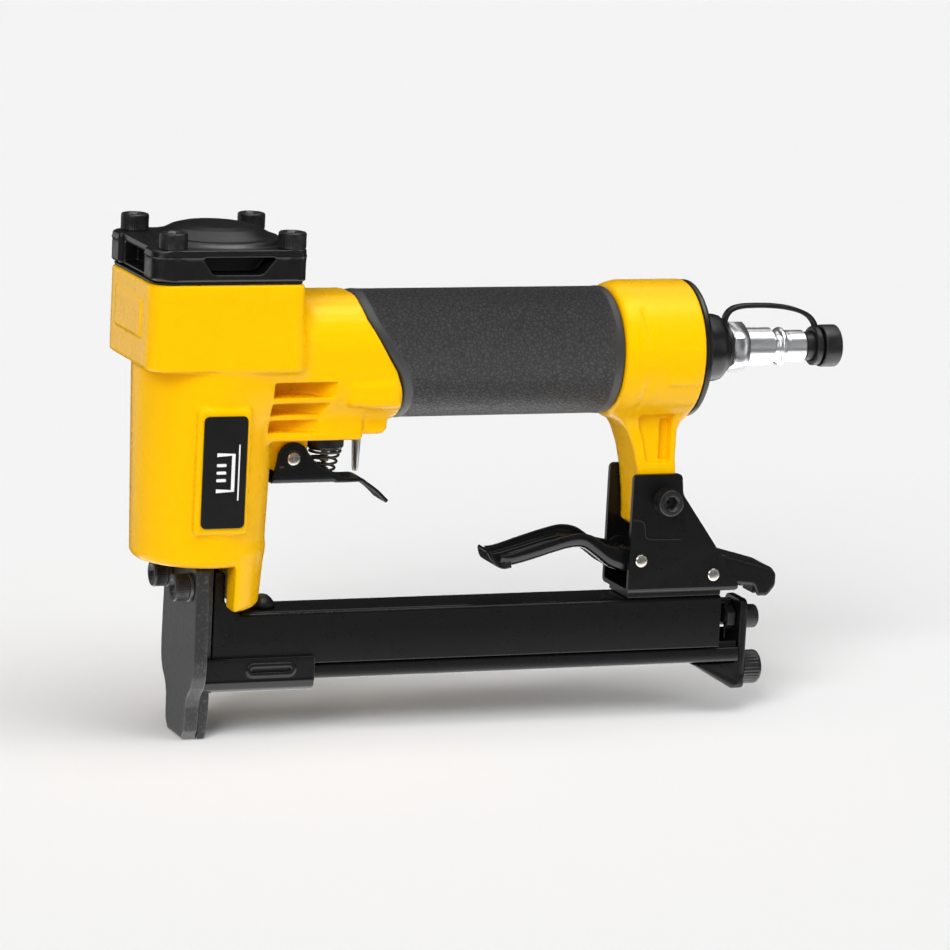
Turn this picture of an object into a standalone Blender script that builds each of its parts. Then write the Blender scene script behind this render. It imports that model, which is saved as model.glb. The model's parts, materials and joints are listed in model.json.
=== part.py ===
"""Air-powered fine-wire staple gun, modelled as the assembly that comes apart on a bench.

Frame: +Z up, +X towards the air inlet, the nose at the -X end. The origin is the staple exit: the
driver blade's line at the bottom of the nose. Lengths below are millimetres; MM turns them to metres.
"""

import math

import bmesh
import bpy
from mathutils import Matrix, Vector

MM = 0.001
OBJECT = "staple_gun"
GAP = 0.3  # left between two pieces that touch
FINE = 32  # sides of a large round piece
COARSE = 20  # sides of a small one

# Head and cap
HEAD_FRONT, HEAD_REAR, HEAD_HALF = -25.8, 22.8, 23.4
HEAD_BOTTOM, HEAD_TOP = 116.4, 142.6
CAP_BOTTOM, CAP_PLATE, CAP_TOP, DOME_TOP = 143.6, 150.8, 153.0, 158.6
SCREW_X, SCREW_Y = 18.6, 19.0
M5_HEAD, M5_HEIGHT, M5_SHANK = 4.25, 5.0, 2.45

# Cylinder line
BARREL_X, BARREL_TOP_R, BARREL_LOW_R, BARREL_BOTTOM = -1.2, 21.9, 20.4, 55.5
BORE_R, BORE_FLOOR = 17.0, 72.0
PISTON_R, PISTON_LOW, PISTON_HIGH = 13.4, 122.0, 131.0
BLADE_X, BLADE_HALF, BLADE_THICK, BLADE_TIP = -2.1, 5.5, 1.0, 42.0

# Handle
HANDLE_Z, GRIP_R, CORE_R, AIR_R = 117.4, 19.7, 17.2, 13.0
GRIP_REAR, RING_R, RING_REAR = 128.9, 21.7, 155.4

# Trigger
TRIGGER_X, TRIGGER_Z, TRIGGER_HALF = 27.0, 86.0, 5.5
BLOCK_HALF, BLOCK_BOTTOM, BLOCK_REAR = 13.5, 93.0, 54.4
VALVE_X = 38.8

# Nose and magazine
PLATE_FRONT, PLATE_REAR = -6.0, -1.5
GUIDE_FRONT, GUIDE_REAR = -1.2, 2.2
NOSE_SCREW_Y, NOSE_SCREW_Z = 10.4, 48.3
MAG_HALF, MAG_WALL, MAG_TOP, MAG_LOW = 8.0, 1.2, 38.9, 22.4
MAG_FRONT, MAG_REAR = 2.6, 171.8
RAIL_LOW, RAIL_FLANGE_TOP, RAIL_HALF = 17.1, 21.9, 7.2
CORE_HALF, CORE_TOP = 5.3, 35.5
END_FRONT, END_REAR, END_LOW, END_TOP = 179.4, 181.9, 8.2, 37.0
ROD_Z = 28.0

# Rear bracket and latch
LEG_HALF, BRACKET_SHEET = 8.5, 1.6
BRACKET_HALF = LEG_HALF + GAP + BRACKET_SHEET
LEVER_PIN = (142.1, 51.8)
HOOK_PIN = (167.2, 46.6)
PIN_R = 2.0
BRACKET_SCREW = (149.2, 70.9)


# ---------------------------------------------------------------- scene and materials


def clear_scene():
    for obj in list(bpy.data.objects):
        bpy.data.objects.remove(obj, do_unlink=True)


def new_collection(name):
    made = bpy.data.collections.new(name)
    bpy.context.scene.collection.children.link(made)
    return made


def material(name, colour, roughness, metallic=0.0):
    made = bpy.data.materials.new(name)
    made.use_nodes = True
    shader = made.node_tree.nodes["Principled BSDF"]
    shader.inputs["Base Color"].default_value = (*colour, 1.0)
    shader.inputs["Roughness"].default_value = roughness
    shader.inputs["Metallic"].default_value = metallic
    return made


clear_scene()
PARTS = new_collection(OBJECT)
CUTTERS = new_collection(OBJECT + "_cutters")

YELLOW = material("yellow_enamel", (1.0, 0.62, 0.01), 0.35)
BLACK_PLASTIC = material("black_plastic", (0.03, 0.03, 0.03), 0.45)
BLACK_STEEL = material("black_steel", (0.02, 0.02, 0.02), 0.32, 0.6)
SCREW_STEEL = material("black_screw", (0.05, 0.05, 0.05), 0.4, 0.8)
BRIGHT_STEEL = material("bright_steel", (0.7, 0.68, 0.65), 0.3, 1.0)
CHROME = material("chrome", (0.8, 0.8, 0.8), 0.12, 1.0)
RUBBER = material("grip_rubber", (0.06, 0.06, 0.065), 0.75)
SOFT_BLACK = material("soft_black", (0.02, 0.02, 0.02), 0.6)
BRASS = material("brass", (0.7, 0.5, 0.2), 0.3, 1.0)
ALUMINIUM = material("aluminium", (0.6, 0.6, 0.62), 0.35, 1.0)
URETHANE = material("urethane", (0.15, 0.13, 0.1), 0.6)


# ---------------------------------------------------------------- shape helpers


def keep(obj, name, finish):
    """Makes this solid a named piece of the assembly."""
    obj.name = name
    obj.data.materials.clear()
    obj.data.materials.append(finish)
    return obj


def piece_of(mesh):
    obj = bpy.data.objects.new("solid", mesh)
    PARTS.objects.link(obj)
    return obj


def from_bmesh(built):
    mesh = bpy.data.meshes.new("solid")
    built.normal_update()
    bmesh.ops.recalc_face_normals(built, faces=built.faces)
    built.to_mesh(mesh)
    built.free()
    mesh.shade_smooth()
    mesh.set_sharp_from_angle(angle=math.radians(35))
    return piece_of(mesh)


def baked(obj):
    """The same piece with its modifiers applied, its caps welded and its faces pointing out."""
    graph = bpy.context.evaluated_depsgraph_get()
    graph.update()
    mesh = bpy.data.meshes.new_from_object(obj.evaluated_get(graph))
    built = bmesh.new()
    built.from_mesh(mesh)
    bmesh.ops.remove_doubles(built, verts=built.verts, dist=0.001 * MM)
    built.transform(obj.matrix_world)
    bpy.data.objects.remove(obj, do_unlink=True)
    return from_bmesh(built)


def box(low, high):
    low, high = Vector(low) * MM, Vector(high) * MM
    built = bmesh.new()
    bmesh.ops.create_cube(built, size=1.0)
    size = high - low
    built.transform(Matrix.Translation((low + high) / 2) @ Matrix.Diagonal((*size, 1.0)))
    return from_bmesh(built)


def cylinder(start, end, radius, end_radius=None, sides=COARSE):
    start, end = Vector(start) * MM, Vector(end) * MM
    along = end - start
    built = bmesh.new()
    bmesh.ops.create_cone(
        built, cap_ends=True, segments=sides, depth=along.length,
        radius1=radius * MM, radius2=(radius if end_radius is None else end_radius) * MM,
    )
    turn = along.to_track_quat("Z", "Y").to_matrix().to_4x4()
    built.transform(Matrix.Translation((start + end) / 2) @ turn)
    return from_bmesh(built)


def arc_corner(before, corner, after, radius, steps=4):
    """The points that round one corner of an outline."""
    corner = Vector(corner)
    one, two = (Vector(before) - corner).normalized(), (Vector(after) - corner).normalized()
    half = one.angle(two) / 2
    reach = radius / math.tan(half)
    centre = corner + (one + two).normalized() * radius / math.sin(half)
    start, end = corner + one * reach - centre, corner + two * reach - centre
    sweep = start.angle_signed(end)
    turns = [Matrix.Rotation(-sweep * i / steps, 2) for i in range(steps + 1)]
    return [tuple(centre + turn @ start) for turn in turns]


def rounded(points, radii):
    """An outline with each corner rounded to its radius; 0 leaves it sharp."""
    made = []
    for i, (corner, radius) in enumerate(zip(points, radii)):
        if radius:
            made += arc_corner(points[i - 1], corner, points[(i + 1) % len(points)], radius)
        else:
            made.append(tuple(corner))
    return made


PLANES = {
    "side": Matrix(((1, 0, 0), (0, 0, -1), (0, 1, 0))),  # outline in X and Z, thickness in Y
    "plan": Matrix.Identity(3),  # outline in X and Y, thickness in Z
    "front": Matrix(((0, 0, 1), (1, 0, 0), (0, 1, 0))),  # outline in Y and Z, thickness in X
}
NORMALS = {"side": 1, "plan": 2, "front": 0}


def slab(outline, plane, low, high):
    """A flat outline given its thickness, from low to high across its plane."""
    curve = bpy.data.curves.new("outline", "CURVE")
    curve.dimensions = "2D"
    curve.fill_mode = "BOTH"
    curve.extrude = (high - low) / 2 * MM
    spline = curve.splines.new("POLY")
    spline.points.add(len(outline) - 1)
    for point, (u, v) in zip(spline.points, outline):
        point.co = (u * MM, v * MM, 0, 1)
    spline.use_cyclic_u = True
    obj = bpy.data.objects.new("outline", curve)
    PARTS.objects.link(obj)
    shift = Vector((0, 0, 0))
    shift[NORMALS[plane]] = (low + high) / 2 * MM
    obj.matrix_world = Matrix.Translation(shift) @ PLANES[plane].to_4x4()
    bpy.context.view_layer.update()
    return baked(obj)


def turned(profile, centre, along, sides=FINE):
    """A closed profile of (distance along, radius) points turned about a line."""
    mesh = bpy.data.meshes.new("profile")
    edges = [(i, (i + 1) % len(profile)) for i in range(len(profile))]
    mesh.from_pydata([(r * MM, 0, h * MM) for h, r in profile], edges, [])
    obj = bpy.data.objects.new("profile", mesh)
    PARTS.objects.link(obj)
    screw = obj.modifiers.new("turn", "SCREW")
    screw.steps = screw.render_steps = sides
    screw.use_merge_vertices = True
    screw.merge_threshold = 0.00001
    turn = Vector(along).to_track_quat("Z", "Y").to_matrix().to_4x4()
    obj.matrix_world = Matrix.Translation(Vector(centre) * MM) @ turn
    bpy.context.view_layer.update()
    return baked(obj)


def bevelled(obj, width, segments=2, angle=40):
    bevel = obj.modifiers.new("edges", "BEVEL")
    bevel.width = width * MM
    bevel.segments = segments
    bevel.limit_method = "ANGLE"
    bevel.angle_limit = math.radians(angle)
    return baked(obj)


def combined(obj, operation, others):
    for other in others:
        PARTS.objects.unlink(other)
        CUTTERS.objects.link(other)
        other.hide_render = True
        other.display_type = "WIRE"
        step = obj.modifiers.new(operation.lower(), "BOOLEAN")
        step.operation = operation
        step.object = other
    return obj


def join(obj, *others):
    return combined(obj, "UNION", others)


def cut(obj, *others):
    return combined(obj, "DIFFERENCE", others)


def common(obj, *others):
    return combined(obj, "INTERSECT", others)


def coil(name, finish, wire, points):
    """A round wire along these points, as a curve with filled caps."""
    curve = bpy.data.curves.new(name, "CURVE")
    curve.dimensions = "3D"
    curve.bevel_depth = wire * MM
    curve.bevel_resolution = 2
    curve.use_fill_caps = True
    spline = curve.splines.new("POLY")
    spline.points.add(len(points) - 1)
    for point, place in zip(spline.points, points):
        point.co = (*(Vector(place) * MM), 1)
    obj = bpy.data.objects.new(name, curve)
    PARTS.objects.link(obj)
    return keep(obj, name, finish)


def helix(centre, along, length, turns, first_radius, last_radius, per_turn=9):
    """Points of a coil that winds along a line, its ends closed up like a ground spring."""
    frame = Vector(along).to_track_quat("Z", "Y").to_matrix()
    points = []
    count = int(turns * per_turn)
    for i in range(count + 1):
        share = i / count
        angle = 2 * math.pi * turns * share
        radius = first_radius + (last_radius - first_radius) * share
        local = Vector((radius * math.cos(angle), radius * math.sin(angle), length * share))
        points.append(Vector(centre) + frame @ local)
    return points


def hex_points(radius, turn=0.0):
    return [
        (radius * math.cos(math.radians(60 * i + turn)), radius * math.sin(math.radians(60 * i + turn)))
        for i in range(6)
    ]


def socket_screw(name, seat, out, length, head_r=M5_HEAD, height=M5_HEIGHT, shank_r=M5_SHANK):
    """A cap screw: seat is the underside of its head, out the way the head points."""
    seat, out = Vector(seat), Vector(out)
    profile = [(-length, 0), (-length, shank_r), (0, shank_r), (0, head_r),
               (height - 0.5, head_r), (height, head_r - 0.5), (height, 0)]
    screw = turned(profile, seat, out, COARSE)
    socket = slab(hex_points(head_r * 0.55), "plan", 0, 3.0)
    turn = out.to_track_quat("Z", "Y").to_matrix().to_4x4()
    place = Matrix.Translation((seat + out * (height - 2.5)) * MM) @ turn
    socket.data.transform(place)
    return keep(cut(screw, socket), name, SCREW_STEEL)


# ---------------------------------------------------------------- head, barrel and handle


def head_outline(inset=0.0):
    low_x, high_x, half = HEAD_FRONT + inset, HEAD_REAR - inset, HEAD_HALF - inset
    corners = [(low_x, -half), (high_x, -half), (high_x, half), (low_x, half)]
    return rounded(corners, (6.5 - inset, 2.6, 2.6, 6.5 - inset))


def grip_edge(shift=0.0):
    """The slanted front edge of the grip, seen from the side, as (x, z) from bottom to top."""
    line = [(57.4, 96), (57.5, 103.9), (56.4, 109.6), (54.5, 114.8), (50.0, 122.2),
            (45.2, 130.5), (44.2, 134.5), (44.0, 139)]
    return [(x + shift, z) for x, z in line]


def barrel_radius(z):
    share = (z - BARREL_BOTTOM) / (112.0 - BARREL_BOTTOM)
    return BARREL_LOW_R + (BARREL_TOP_R - BARREL_LOW_R) * min(share, 1.0)


def barrel():
    top = HEAD_BOTTOM + 4
    shape = cylinder((BARREL_X, 0, BARREL_BOTTOM), (BARREL_X, 0, top),
                     BARREL_LOW_R, BARREL_TOP_R, 56)
    return bevelled(shape, 3.0, 3, 60)


def barrel_leg():
    """The rear of the barrel's skirt, which carries on down to the magazine."""
    low = 41.2
    skirt = cylinder((BARREL_X, 0, low), (BARREL_X, 0, 66), 19.7, barrel_radius(66) - 0.05, 56)
    rear = box((5.6, -24, low - 1), (24, 24, 70))
    tab_room = box((1.0, -9.6, low - 2), (9.5, 9.6, BARREL_BOTTOM + 0.2))
    return baked(cut(common(skirt, rear), tab_room))


def neck():
    """The flat-sided neck from the head to the grip's slanted edge."""
    top, bottom, half = HANDLE_Z + 19.5, HANDLE_Z - 19.5, 19.5
    section = rounded([(-half, bottom), (half, bottom), (half, top), (-half, top)], (16,) * 4)
    body = slab(section, "front", 0, 60)
    edge = grip_edge(-GAP)
    side = slab([(-5, 96), *edge, (-5, 139)], "side", -30, 30)
    return baked(common(body, side))


def neck_shoulder():
    """The fillet from the head's rear face down to the top of the neck."""
    radius = 5.0
    top = HANDLE_Z + 19.4
    rise = [
        (HEAD_REAR + radius - radius * math.cos(a), top + radius - radius * math.sin(a))
        for a in (math.radians(90 * i / 5) for i in range(6))
    ]
    outline = [(HEAD_REAR - 3, top - 6), (HEAD_REAR - 3, top + radius),
        *rise, (HEAD_REAR + radius, top - 6)]
    return bevelled(slab(outline, "side", -17, 17), 1.2, 2, 60)


def handle_core():
    """The air reservoir: a tube under the grip, opening into the ring that the end cap closes."""
    profile = [
        (20, AIR_R), (20, CORE_R), (GRIP_REAR + GAP, CORE_R), (GRIP_REAR + GAP, GRIP_R + 0.1),
        (131.0, 20.9), (133.5, RING_R), (RING_REAR - 0.8, RING_R), (RING_REAR, RING_R - 0.8),
        (RING_REAR, 16.0), (RING_REAR - 8, 16.0), (RING_REAR - 8, AIR_R),
    ]
    return turned(profile, (0, 0, HANDLE_Z), (1, 0, 0), 48)


def trigger_block():
    outline = rounded(
        [(12, BLOCK_BOTTOM), (45, BLOCK_BOTTOM), (45.4, 94.4), (BLOCK_REAR - 0.3, 94.4),
         (BLOCK_REAR, 103), (BLOCK_REAR - 3, 112), (12, 113)],
        (0, 0, 0, 2.0, 0, 0, 0),
    )
    return bevelled(slab(outline, "side", -BLOCK_HALF, BLOCK_HALF), 1.2, 2, 60)


def side_slots():
    """Three slots between the barrel and the trigger block, their floors running out rearwards."""
    made = []
    for low, high in ((107.2, 112.1), (101.4, 105.3), (95.8, 99.6)):
        for side in (-1, 1):
            plan = [(14.5, side * 26), (14.5, side * 8.0), (25, side * 8.5), (34.5, side * 13.6),
                (34.5, side * 26)]
            made.append(slab(plan, "plan", low, high))
    return made


def rear_leg():
    outline = [
        (129.0, 100.0), (131.0, 99), (134.6, 96), (137.0, 91), (138.9, 86), (140.5, 79), (141.6, 71),
        (142.2, 62.0), (146, 59.2), (153.4, 59.2), (153.4, 78.8), (152.7, 88), (152.9, 97), (153.2, 99.5),
    ]
    leg = bevelled(slab(outline, "side", -LEG_HALF, LEG_HALF), 0.8, 2, 60)
    pockets = []
    for side in (-1, 1):
        pocket = [(141.0, 95.5), (142.6, 89), (143.6, 82.6), (150.6, 82.6), (150.2, 95.5)]
        low, high = sorted((side * (LEG_HALF - 2.2), side * (LEG_HALF + 1)))
        pockets.append(slab(pocket, "side", low, high))
    return baked(cut(leg, *pockets))


def trigger_tongue():
    outline = [(19.0, 95), (19.0, 84), (22.5, 81.4), (30.0, 81.4), (32.0, 84), (32.0, 95)]
    return slab(outline, "side", -3.8, 3.8)


def make_housing():
    head = slab(head_outline(0.3), "plan", HEAD_BOTTOM, HEAD_TOP)
    body = bevelled(head, 1.0, 2, 60)
    join(body, barrel(), barrel_leg(), neck(), neck_shoulder(), handle_core(), trigger_block(),
         rear_leg(), trigger_tongue())
    front = HEAD_FRONT + 0.3
    join(body, bevelled(box((front - 0.6, -12, 124.5), (front + 3, 12, 136.5)), 0.4, 1))
    pad = rounded([(-9.4, 66.4), (7.4, 66.4), (7.4, 105.0), (-9.4, 105.0)], (2,) * 4)
    join(body, slab(pad, "side", -22.3, -10))
    cut(body, *side_slots())
    cut(body, cylinder((0, 0, BORE_FLOOR), (0, 0, HEAD_TOP + 5), BORE_R, sides=FINE))
    cut(body, box((BLADE_X - 1.1, -BLADE_HALF - 0.8, 30),
        (BLADE_X + 1.1, BLADE_HALF + 0.8, BORE_FLOOR + 2)))
    # The nose plates seat in a pocket under the barrel, open to the front.
    cut(body, box((-6.4, -13.5, 50), (2.6, 13.5, 60.5)))
    cut(body, cylinder((12, 0, HANDLE_Z), (64, 0, HANDLE_Z), 8.5))
    cut(body, cylinder((VALVE_X, 0, 85), (VALVE_X, 0, 106), 3.0))
    cut(body, cylinder((TRIGGER_X, -30, TRIGGER_Z), (TRIGGER_X, 30, TRIGGER_Z), PIN_R + 0.15))
    for x in (-SCREW_X, SCREW_X):
        for y in (-SCREW_Y, SCREW_Y):
            cut(body, cylinder((x, y, 122), (x, y, HEAD_TOP + 5), M5_SHANK + 0.15, sides=12))
    x, z = BRACKET_SCREW
    cut(body, cylinder((x, -20, z), (x, 20, z), M5_SHANK + 0.15, sides=12))
    keep(body, "housing", YELLOW)


def make_name_plate():
    outline = rounded([(-7.9, 68.8), (5.9, 68.8), (5.9, 103.0), (-7.9, 103.0)], (1.6,) * 4)
    keep(slab(outline, "side", -23.2, -22.3 - 0.2), "name_plate", BLACK_PLASTIC)


def make_cap():
    walls = bevelled(slab(head_outline(), "plan", CAP_BOTTOM, CAP_TOP), 0.9, 2, 60)
    dome = turned(
        [(CAP_TOP - 1.0, 0), (CAP_TOP - 1.0, 18.6), (CAP_TOP + 0.3, 18.2), (CAP_TOP + 0.9, 17.0),
         (CAP_TOP + 2.4, 15.2), (CAP_TOP + 4.2, 11.4), (DOME_TOP - 0.4, 6.5), (DOME_TOP, 0)],
        (0.4, 0, 0), (0, 0, 1))
    join(walls, dome)
    cut(walls, cylinder((0, 0, CAP_BOTTOM - 3), (0, 0, CAP_PLATE), BORE_R, sides=FINE))
    for side in (-1, 1):
        port = rounded([(-6.7, 145.8), (8.2, 145.8), (12.6, 151.2), (-10.2, 151.2)], (2.2, 2.2, 0.4, 0.4))
        low, high = sorted((side * 15.0, side * 30.0))
        cut(walls, slab(port, "side", low, high))
    cut(walls, box((-32, -11.5, 145.6), (-16, 11.5, 151.2)))
    for x in (-SCREW_X, SCREW_X):
        for y in (-SCREW_Y, SCREW_Y):
            cut(walls, cylinder((x, y, 140), (x, y, 156), M5_SHANK + 0.15, sides=12))
    keep(walls, "cylinder_cap", BLACK_PLASTIC)
    gasket = slab(head_outline(0.8), "plan", HEAD_TOP + 0.25, CAP_BOTTOM - 0.25)
    cut(gasket, cylinder((0, 0, 140), (0, 0, 146), BORE_R, sides=FINE))
    for x in (-SCREW_X, SCREW_X):
        for y in (-SCREW_Y, SCREW_Y):
            cut(gasket, cylinder((x, y, 140), (x, y, 146), M5_SHANK + 0.15, sides=12))
    keep(gasket, "cap_gasket", SOFT_BLACK)
    for number, (x, y) in enumerate(((-1, -1), (-1, 1), (1, -1), (1, 1)), 1):
        seat = (x * SCREW_X, y * SCREW_Y, CAP_TOP + 0.1)
        socket_screw(f"cap_screw_{number}", seat, (0, 0, 1), 28)


# ---------------------------------------------------------------- air engine


def make_engine():
    sleeve = turned([(BORE_FLOOR + GAP, 13.8), (BORE_FLOOR + GAP, 16.6), (132, 16.6), (132, 13.8)],
                    (0, 0, 0), (0, 0, 1))
    keep(sleeve, "cylinder_sleeve", ALUMINIUM)
    bumper = turned([(BORE_FLOOR + GAP, 6.6), (BORE_FLOOR + GAP, 13.5), (78.5, 13.5), (80.2, 12.0),
        (80.2, 6.6)],
                    (0, 0, 0), (0, 0, 1))
    keep(bumper, "piston_bumper", URETHANE)
    piston = turned([(PISTON_LOW, 0), (PISTON_LOW, PISTON_R), (124.4, PISTON_R), (124.4, 12.2),
        (127.4, 12.2),
                     (127.4, PISTON_R), (PISTON_HIGH, PISTON_R), (PISTON_HIGH, 9.0), (PISTON_HIGH - 2, 9.0),
                     (PISTON_HIGH - 2, 0)], (0, 0, 0), (0, 0, 1))
    keep(piston, "piston", ALUMINIUM)
    ring = turned([(124.7, 12.5), (124.7, 13.6), (127.1, 13.6), (127.1, 12.5)], (0, 0, 0), (0, 0, 1))
    keep(ring, "piston_ring", SOFT_BLACK)
    blade = box((BLADE_X - BLADE_THICK / 2, -BLADE_HALF, BLADE_TIP),
                (BLADE_X + BLADE_THICK / 2, BLADE_HALF, PISTON_LOW - 0.15))
    keep(blade, "driver_blade", BRIGHT_STEEL)
    valve = turned([(132.4, 7.0), (132.4, 16.6), (138.0, 16.6), (138.0, 13.0), (134.4, 12.0), (134.4, 7.0)],
                   (0, 0, 0), (0, 0, 1))
    keep(valve, "head_valve", BLACK_PLASTIC)
    points = helix((0, 0, 135.6), (0, 0, 1), 14.0, 3, 10.2, 10.2, 10)
    coil("head_valve_spring", BRIGHT_STEEL, 0.8, points)


# ---------------------------------------------------------------- grip and air inlet


def make_grip():
    sleeve = turned(
        [(40, CORE_R + GAP), (40, GRIP_R), (GRIP_REAR - 0.7, GRIP_R), (GRIP_REAR, GRIP_R - 0.7),
         (GRIP_REAR, CORE_R + GAP)], (0, 0, HANDLE_Z), (1, 0, 0), 48)
    front = slab([(30, 90), *grip_edge(), (44, 145), (30, 145)], "side", -30, 30)
    keep(cut(sleeve, front), "grip_sleeve", RUBBER)


def make_inlet():
    rear = RING_REAR + GAP
    hub = turned(
        [(rear - 7.5, 9.0), (rear - 7.5, 15.4), (rear, 15.4), (rear, 21.3), (157.4, 21.3), (158.0, 20.6),
         (158.0, 12.2), (160.5, 11.0), (165.0, 10.6), (168.2, 9.6), (169.3, 8.2), (169.3, 5.2), (160, 5.2),
         (160, 9.0)], (0, 0, HANDLE_Z), (1, 0, 0), 40)
    keep(hub, "end_cap", BLACK_PLASTIC)
    plug = turned(
        [(162, 3.4), (162, 5.0), (171.6, 5.0), (171.6, 7.0), (177.0, 7.0), (177.0, 6.05), (186.2, 6.05),
         (187.0, 4.9), (188.2, 4.9), (189.0, 6.1), (190.4, 6.1), (191.0, 4.9), (192.0, 4.9), (192.0, 5.1),
         (197.2, 5.1), (197.7, 4.7), (197.7, 3.4)], (0, 0, HANDLE_Z), (1, 0, 0), 28)
    nut = slab([(y, HANDLE_Z + z) for y, z in hex_points(8.08, 90)], "front", 171.4, 176.8)
    hole = cylinder((160, 0, HANDLE_Z), (200, 0, HANDLE_Z), 3.4, sides=COARSE)
    keep(cut(join(plug, nut), hole), "air_plug", CHROME)
    stopper = turned(
        [(190, 0), (190, 3.0), (198.1, 3.0), (198.1, 4.5), (203.6, 4.4), (203.6, 6.3), (204.2, 6.7),
         (208.8, 6.7), (209.4, 6.1), (209.4, 0)], (0, 0, HANDLE_Z), (1, 0, 0), 32)
    keep(stopper, "dust_cap", SOFT_BLACK)
    make_strap()


def strap_route():
    """The strap's line from the ring at the inlet to the loop at the dust cap, as (x, z)."""
    return [(170.3, 124.4), (170.8, 127.2), (172.6, 129.4), (176.0, 130.4), (180.6, 130.6), (185.4, 130.5),
            (190.6, 130.0), (195.4, 128.9), (199.2, 127.2), (201.4, 124.8), (202.0, 122.8)]


def make_strap():
    ring = turned([(169.7, 5.4), (169.7, 7.6), (171.1, 7.6), (171.1, 5.4)], (0, 0, HANDLE_Z), (1, 0, 0), 32)
    loop = turned([(200.9, 4.85), (200.9, 6.2), (202.9, 6.2), (202.9, 4.85)], (0, 0, HANDLE_Z), (1, 0, 0),
        32)
    route = strap_route()
    thick = 0.7
    outer, inner = [], []
    for i, (x, z) in enumerate(route):
        ahead, back = route[min(i + 1, len(route) - 1)], route[max(i - 1, 0)]
        along = Vector((ahead[0] - back[0], ahead[1] - back[1])).normalized()
        side = Vector((-along.y, along.x)) * thick
        outer.append((x + side.x, z + side.y))
        inner.append((x - side.x, z - side.y))
    band = slab(outer + inner[::-1], "side", -1.3, 1.3)
    keep(join(ring, band, loop), "cap_strap", SOFT_BLACK)


# ---------------------------------------------------------------- trigger


def make_trigger():
    x, z = TRIGGER_X, TRIGGER_Z
    low = 78.2
    ear = [(x + 5.0 * math.cos(a),
        z + 4.8 * math.sin(a)) for a in (math.radians(d) for d in range(170, 20, -15))]
    outline = [(20.3, low), *ear, (40.4, 81.4), (44.0, low)]
    walls = slab(outline, "side", -TRIGGER_HALF, TRIGGER_HALF)
    cut(walls, box((15, -TRIGGER_HALF + 1.2, low + 1.1), (50, TRIGGER_HALF - 1.2, 100)))
    tail = slab([(40, low), (50.4, low), (58.0, 71.3), (58.7, 72.0), (51.0, low + 1.1), (40, low + 1.1)],
                "side", -TRIGGER_HALF, TRIGGER_HALF)
    join(walls, tail)
    hole = cylinder((x, -9, z), (x, 9, z), PIN_R + 0.1)
    keep(cut(walls, hole), "trigger", BLACK_STEEL)
    pin = cylinder((x, -TRIGGER_HALF - 0.6, z), (x, TRIGGER_HALF + 0.6, z), PIN_R)
    keep(bevelled(pin, 0.3, 1, 60), "trigger_pin", BRIGHT_STEEL)
    cap = turned([(88.0, 2.0), (88.0, 5.2), (88.8, 5.8), (BLOCK_BOTTOM - 0.2, 5.8),
        (BLOCK_BOTTOM - 0.2, 2.7),
                  (104, 2.7), (104, 2.0)], (VALVE_X, 0, 0), (0, 0, 1), 32)
    keep(cap, "trigger_valve_body", BLACK_PLASTIC)
    stem = turned([(79.6, 0), (79.6, 1.4), (82.2, 1.4), (82.2, 0.8), (84.0, 0.8), (84.0, 1.3), (86.0, 1.3),
                   (86.0, 1.0), (87.2, 1.0), (87.2, 1.3), (101, 1.3), (101,
                       0)], (VALVE_X, 0, 0), (0, 0, 1), COARSE)
    keep(stem, "valve_stem", BRASS)
    coil("trigger_spring", SCREW_STEEL, 0.4, helix((VALVE_X, 0, 80.1), (0, 0, 1), 7.4, 4.5, 2.5, 4.9, 10))
    tab = turned([(78.9, 0), (78.9, 0.6), (80.0, 1.0), (90.0, 1.5), (BLOCK_BOTTOM - GAP, 1.5),
        (BLOCK_BOTTOM - GAP, 0)],
                 (52.0, 8.0, 0), (0, 0, 1), COARSE)
    keep(tab, "trigger_stop", ALUMINIUM)


# ---------------------------------------------------------------- nose


def nose_outline():
    side = [(7.0, 0), (9.4, 2.8), (9.7, 11.0), (10.8, 13.8), (14.2, 17.2), (15.8, 20.8), (16.2, 26),
            (15.8, 40), (15.4, 54.6)]
    return side + [(-y, z) for y, z in side[::-1]]


def make_nose():
    plate = bevelled(slab(nose_outline(), "front", PLATE_FRONT, PLATE_REAR), 0.5, 2, 60)
    cut(plate, box((BLADE_X - 0.9, -BLADE_HALF - 0.3, -1), (0, BLADE_HALF + 0.3, 60)))
    for y in (-NOSE_SCREW_Y, NOSE_SCREW_Y):
        cut(plate, cylinder((-8, y, NOSE_SCREW_Z), (1, y, NOSE_SCREW_Z), M5_SHANK + 0.15, sides=12))
    keep(plate, "nose_front_plate", BLACK_STEEL)
    side = [(GUIDE_FRONT, 0), (1.2, 0), (1.9, 3.6), (GUIDE_REAR, 9), (GUIDE_REAR, 54.4),
        (GUIDE_FRONT, 54.4)]
    keep(slab(side, "side", -7.9, 7.9), "driver_guide_plate", BLACK_STEEL)
    for number, y in ((1, -NOSE_SCREW_Y), (2, NOSE_SCREW_Y)):
        washer = turned([(0, 2.7), (0, 4.4), (1.1, 4.4), (1.1, 2.7)],
                        (PLATE_FRONT - 1.25, y, NOSE_SCREW_Z), (1, 0, 0), COARSE)
        keep(washer, f"nose_washer_{number}", SCREW_STEEL)
        seat = (PLATE_FRONT - 1.4, y, NOSE_SCREW_Z)
        socket_screw(f"nose_screw_{number}", seat, (-1, 0, 0), 5.6, height=4.4)


# ---------------------------------------------------------------- magazine


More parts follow.
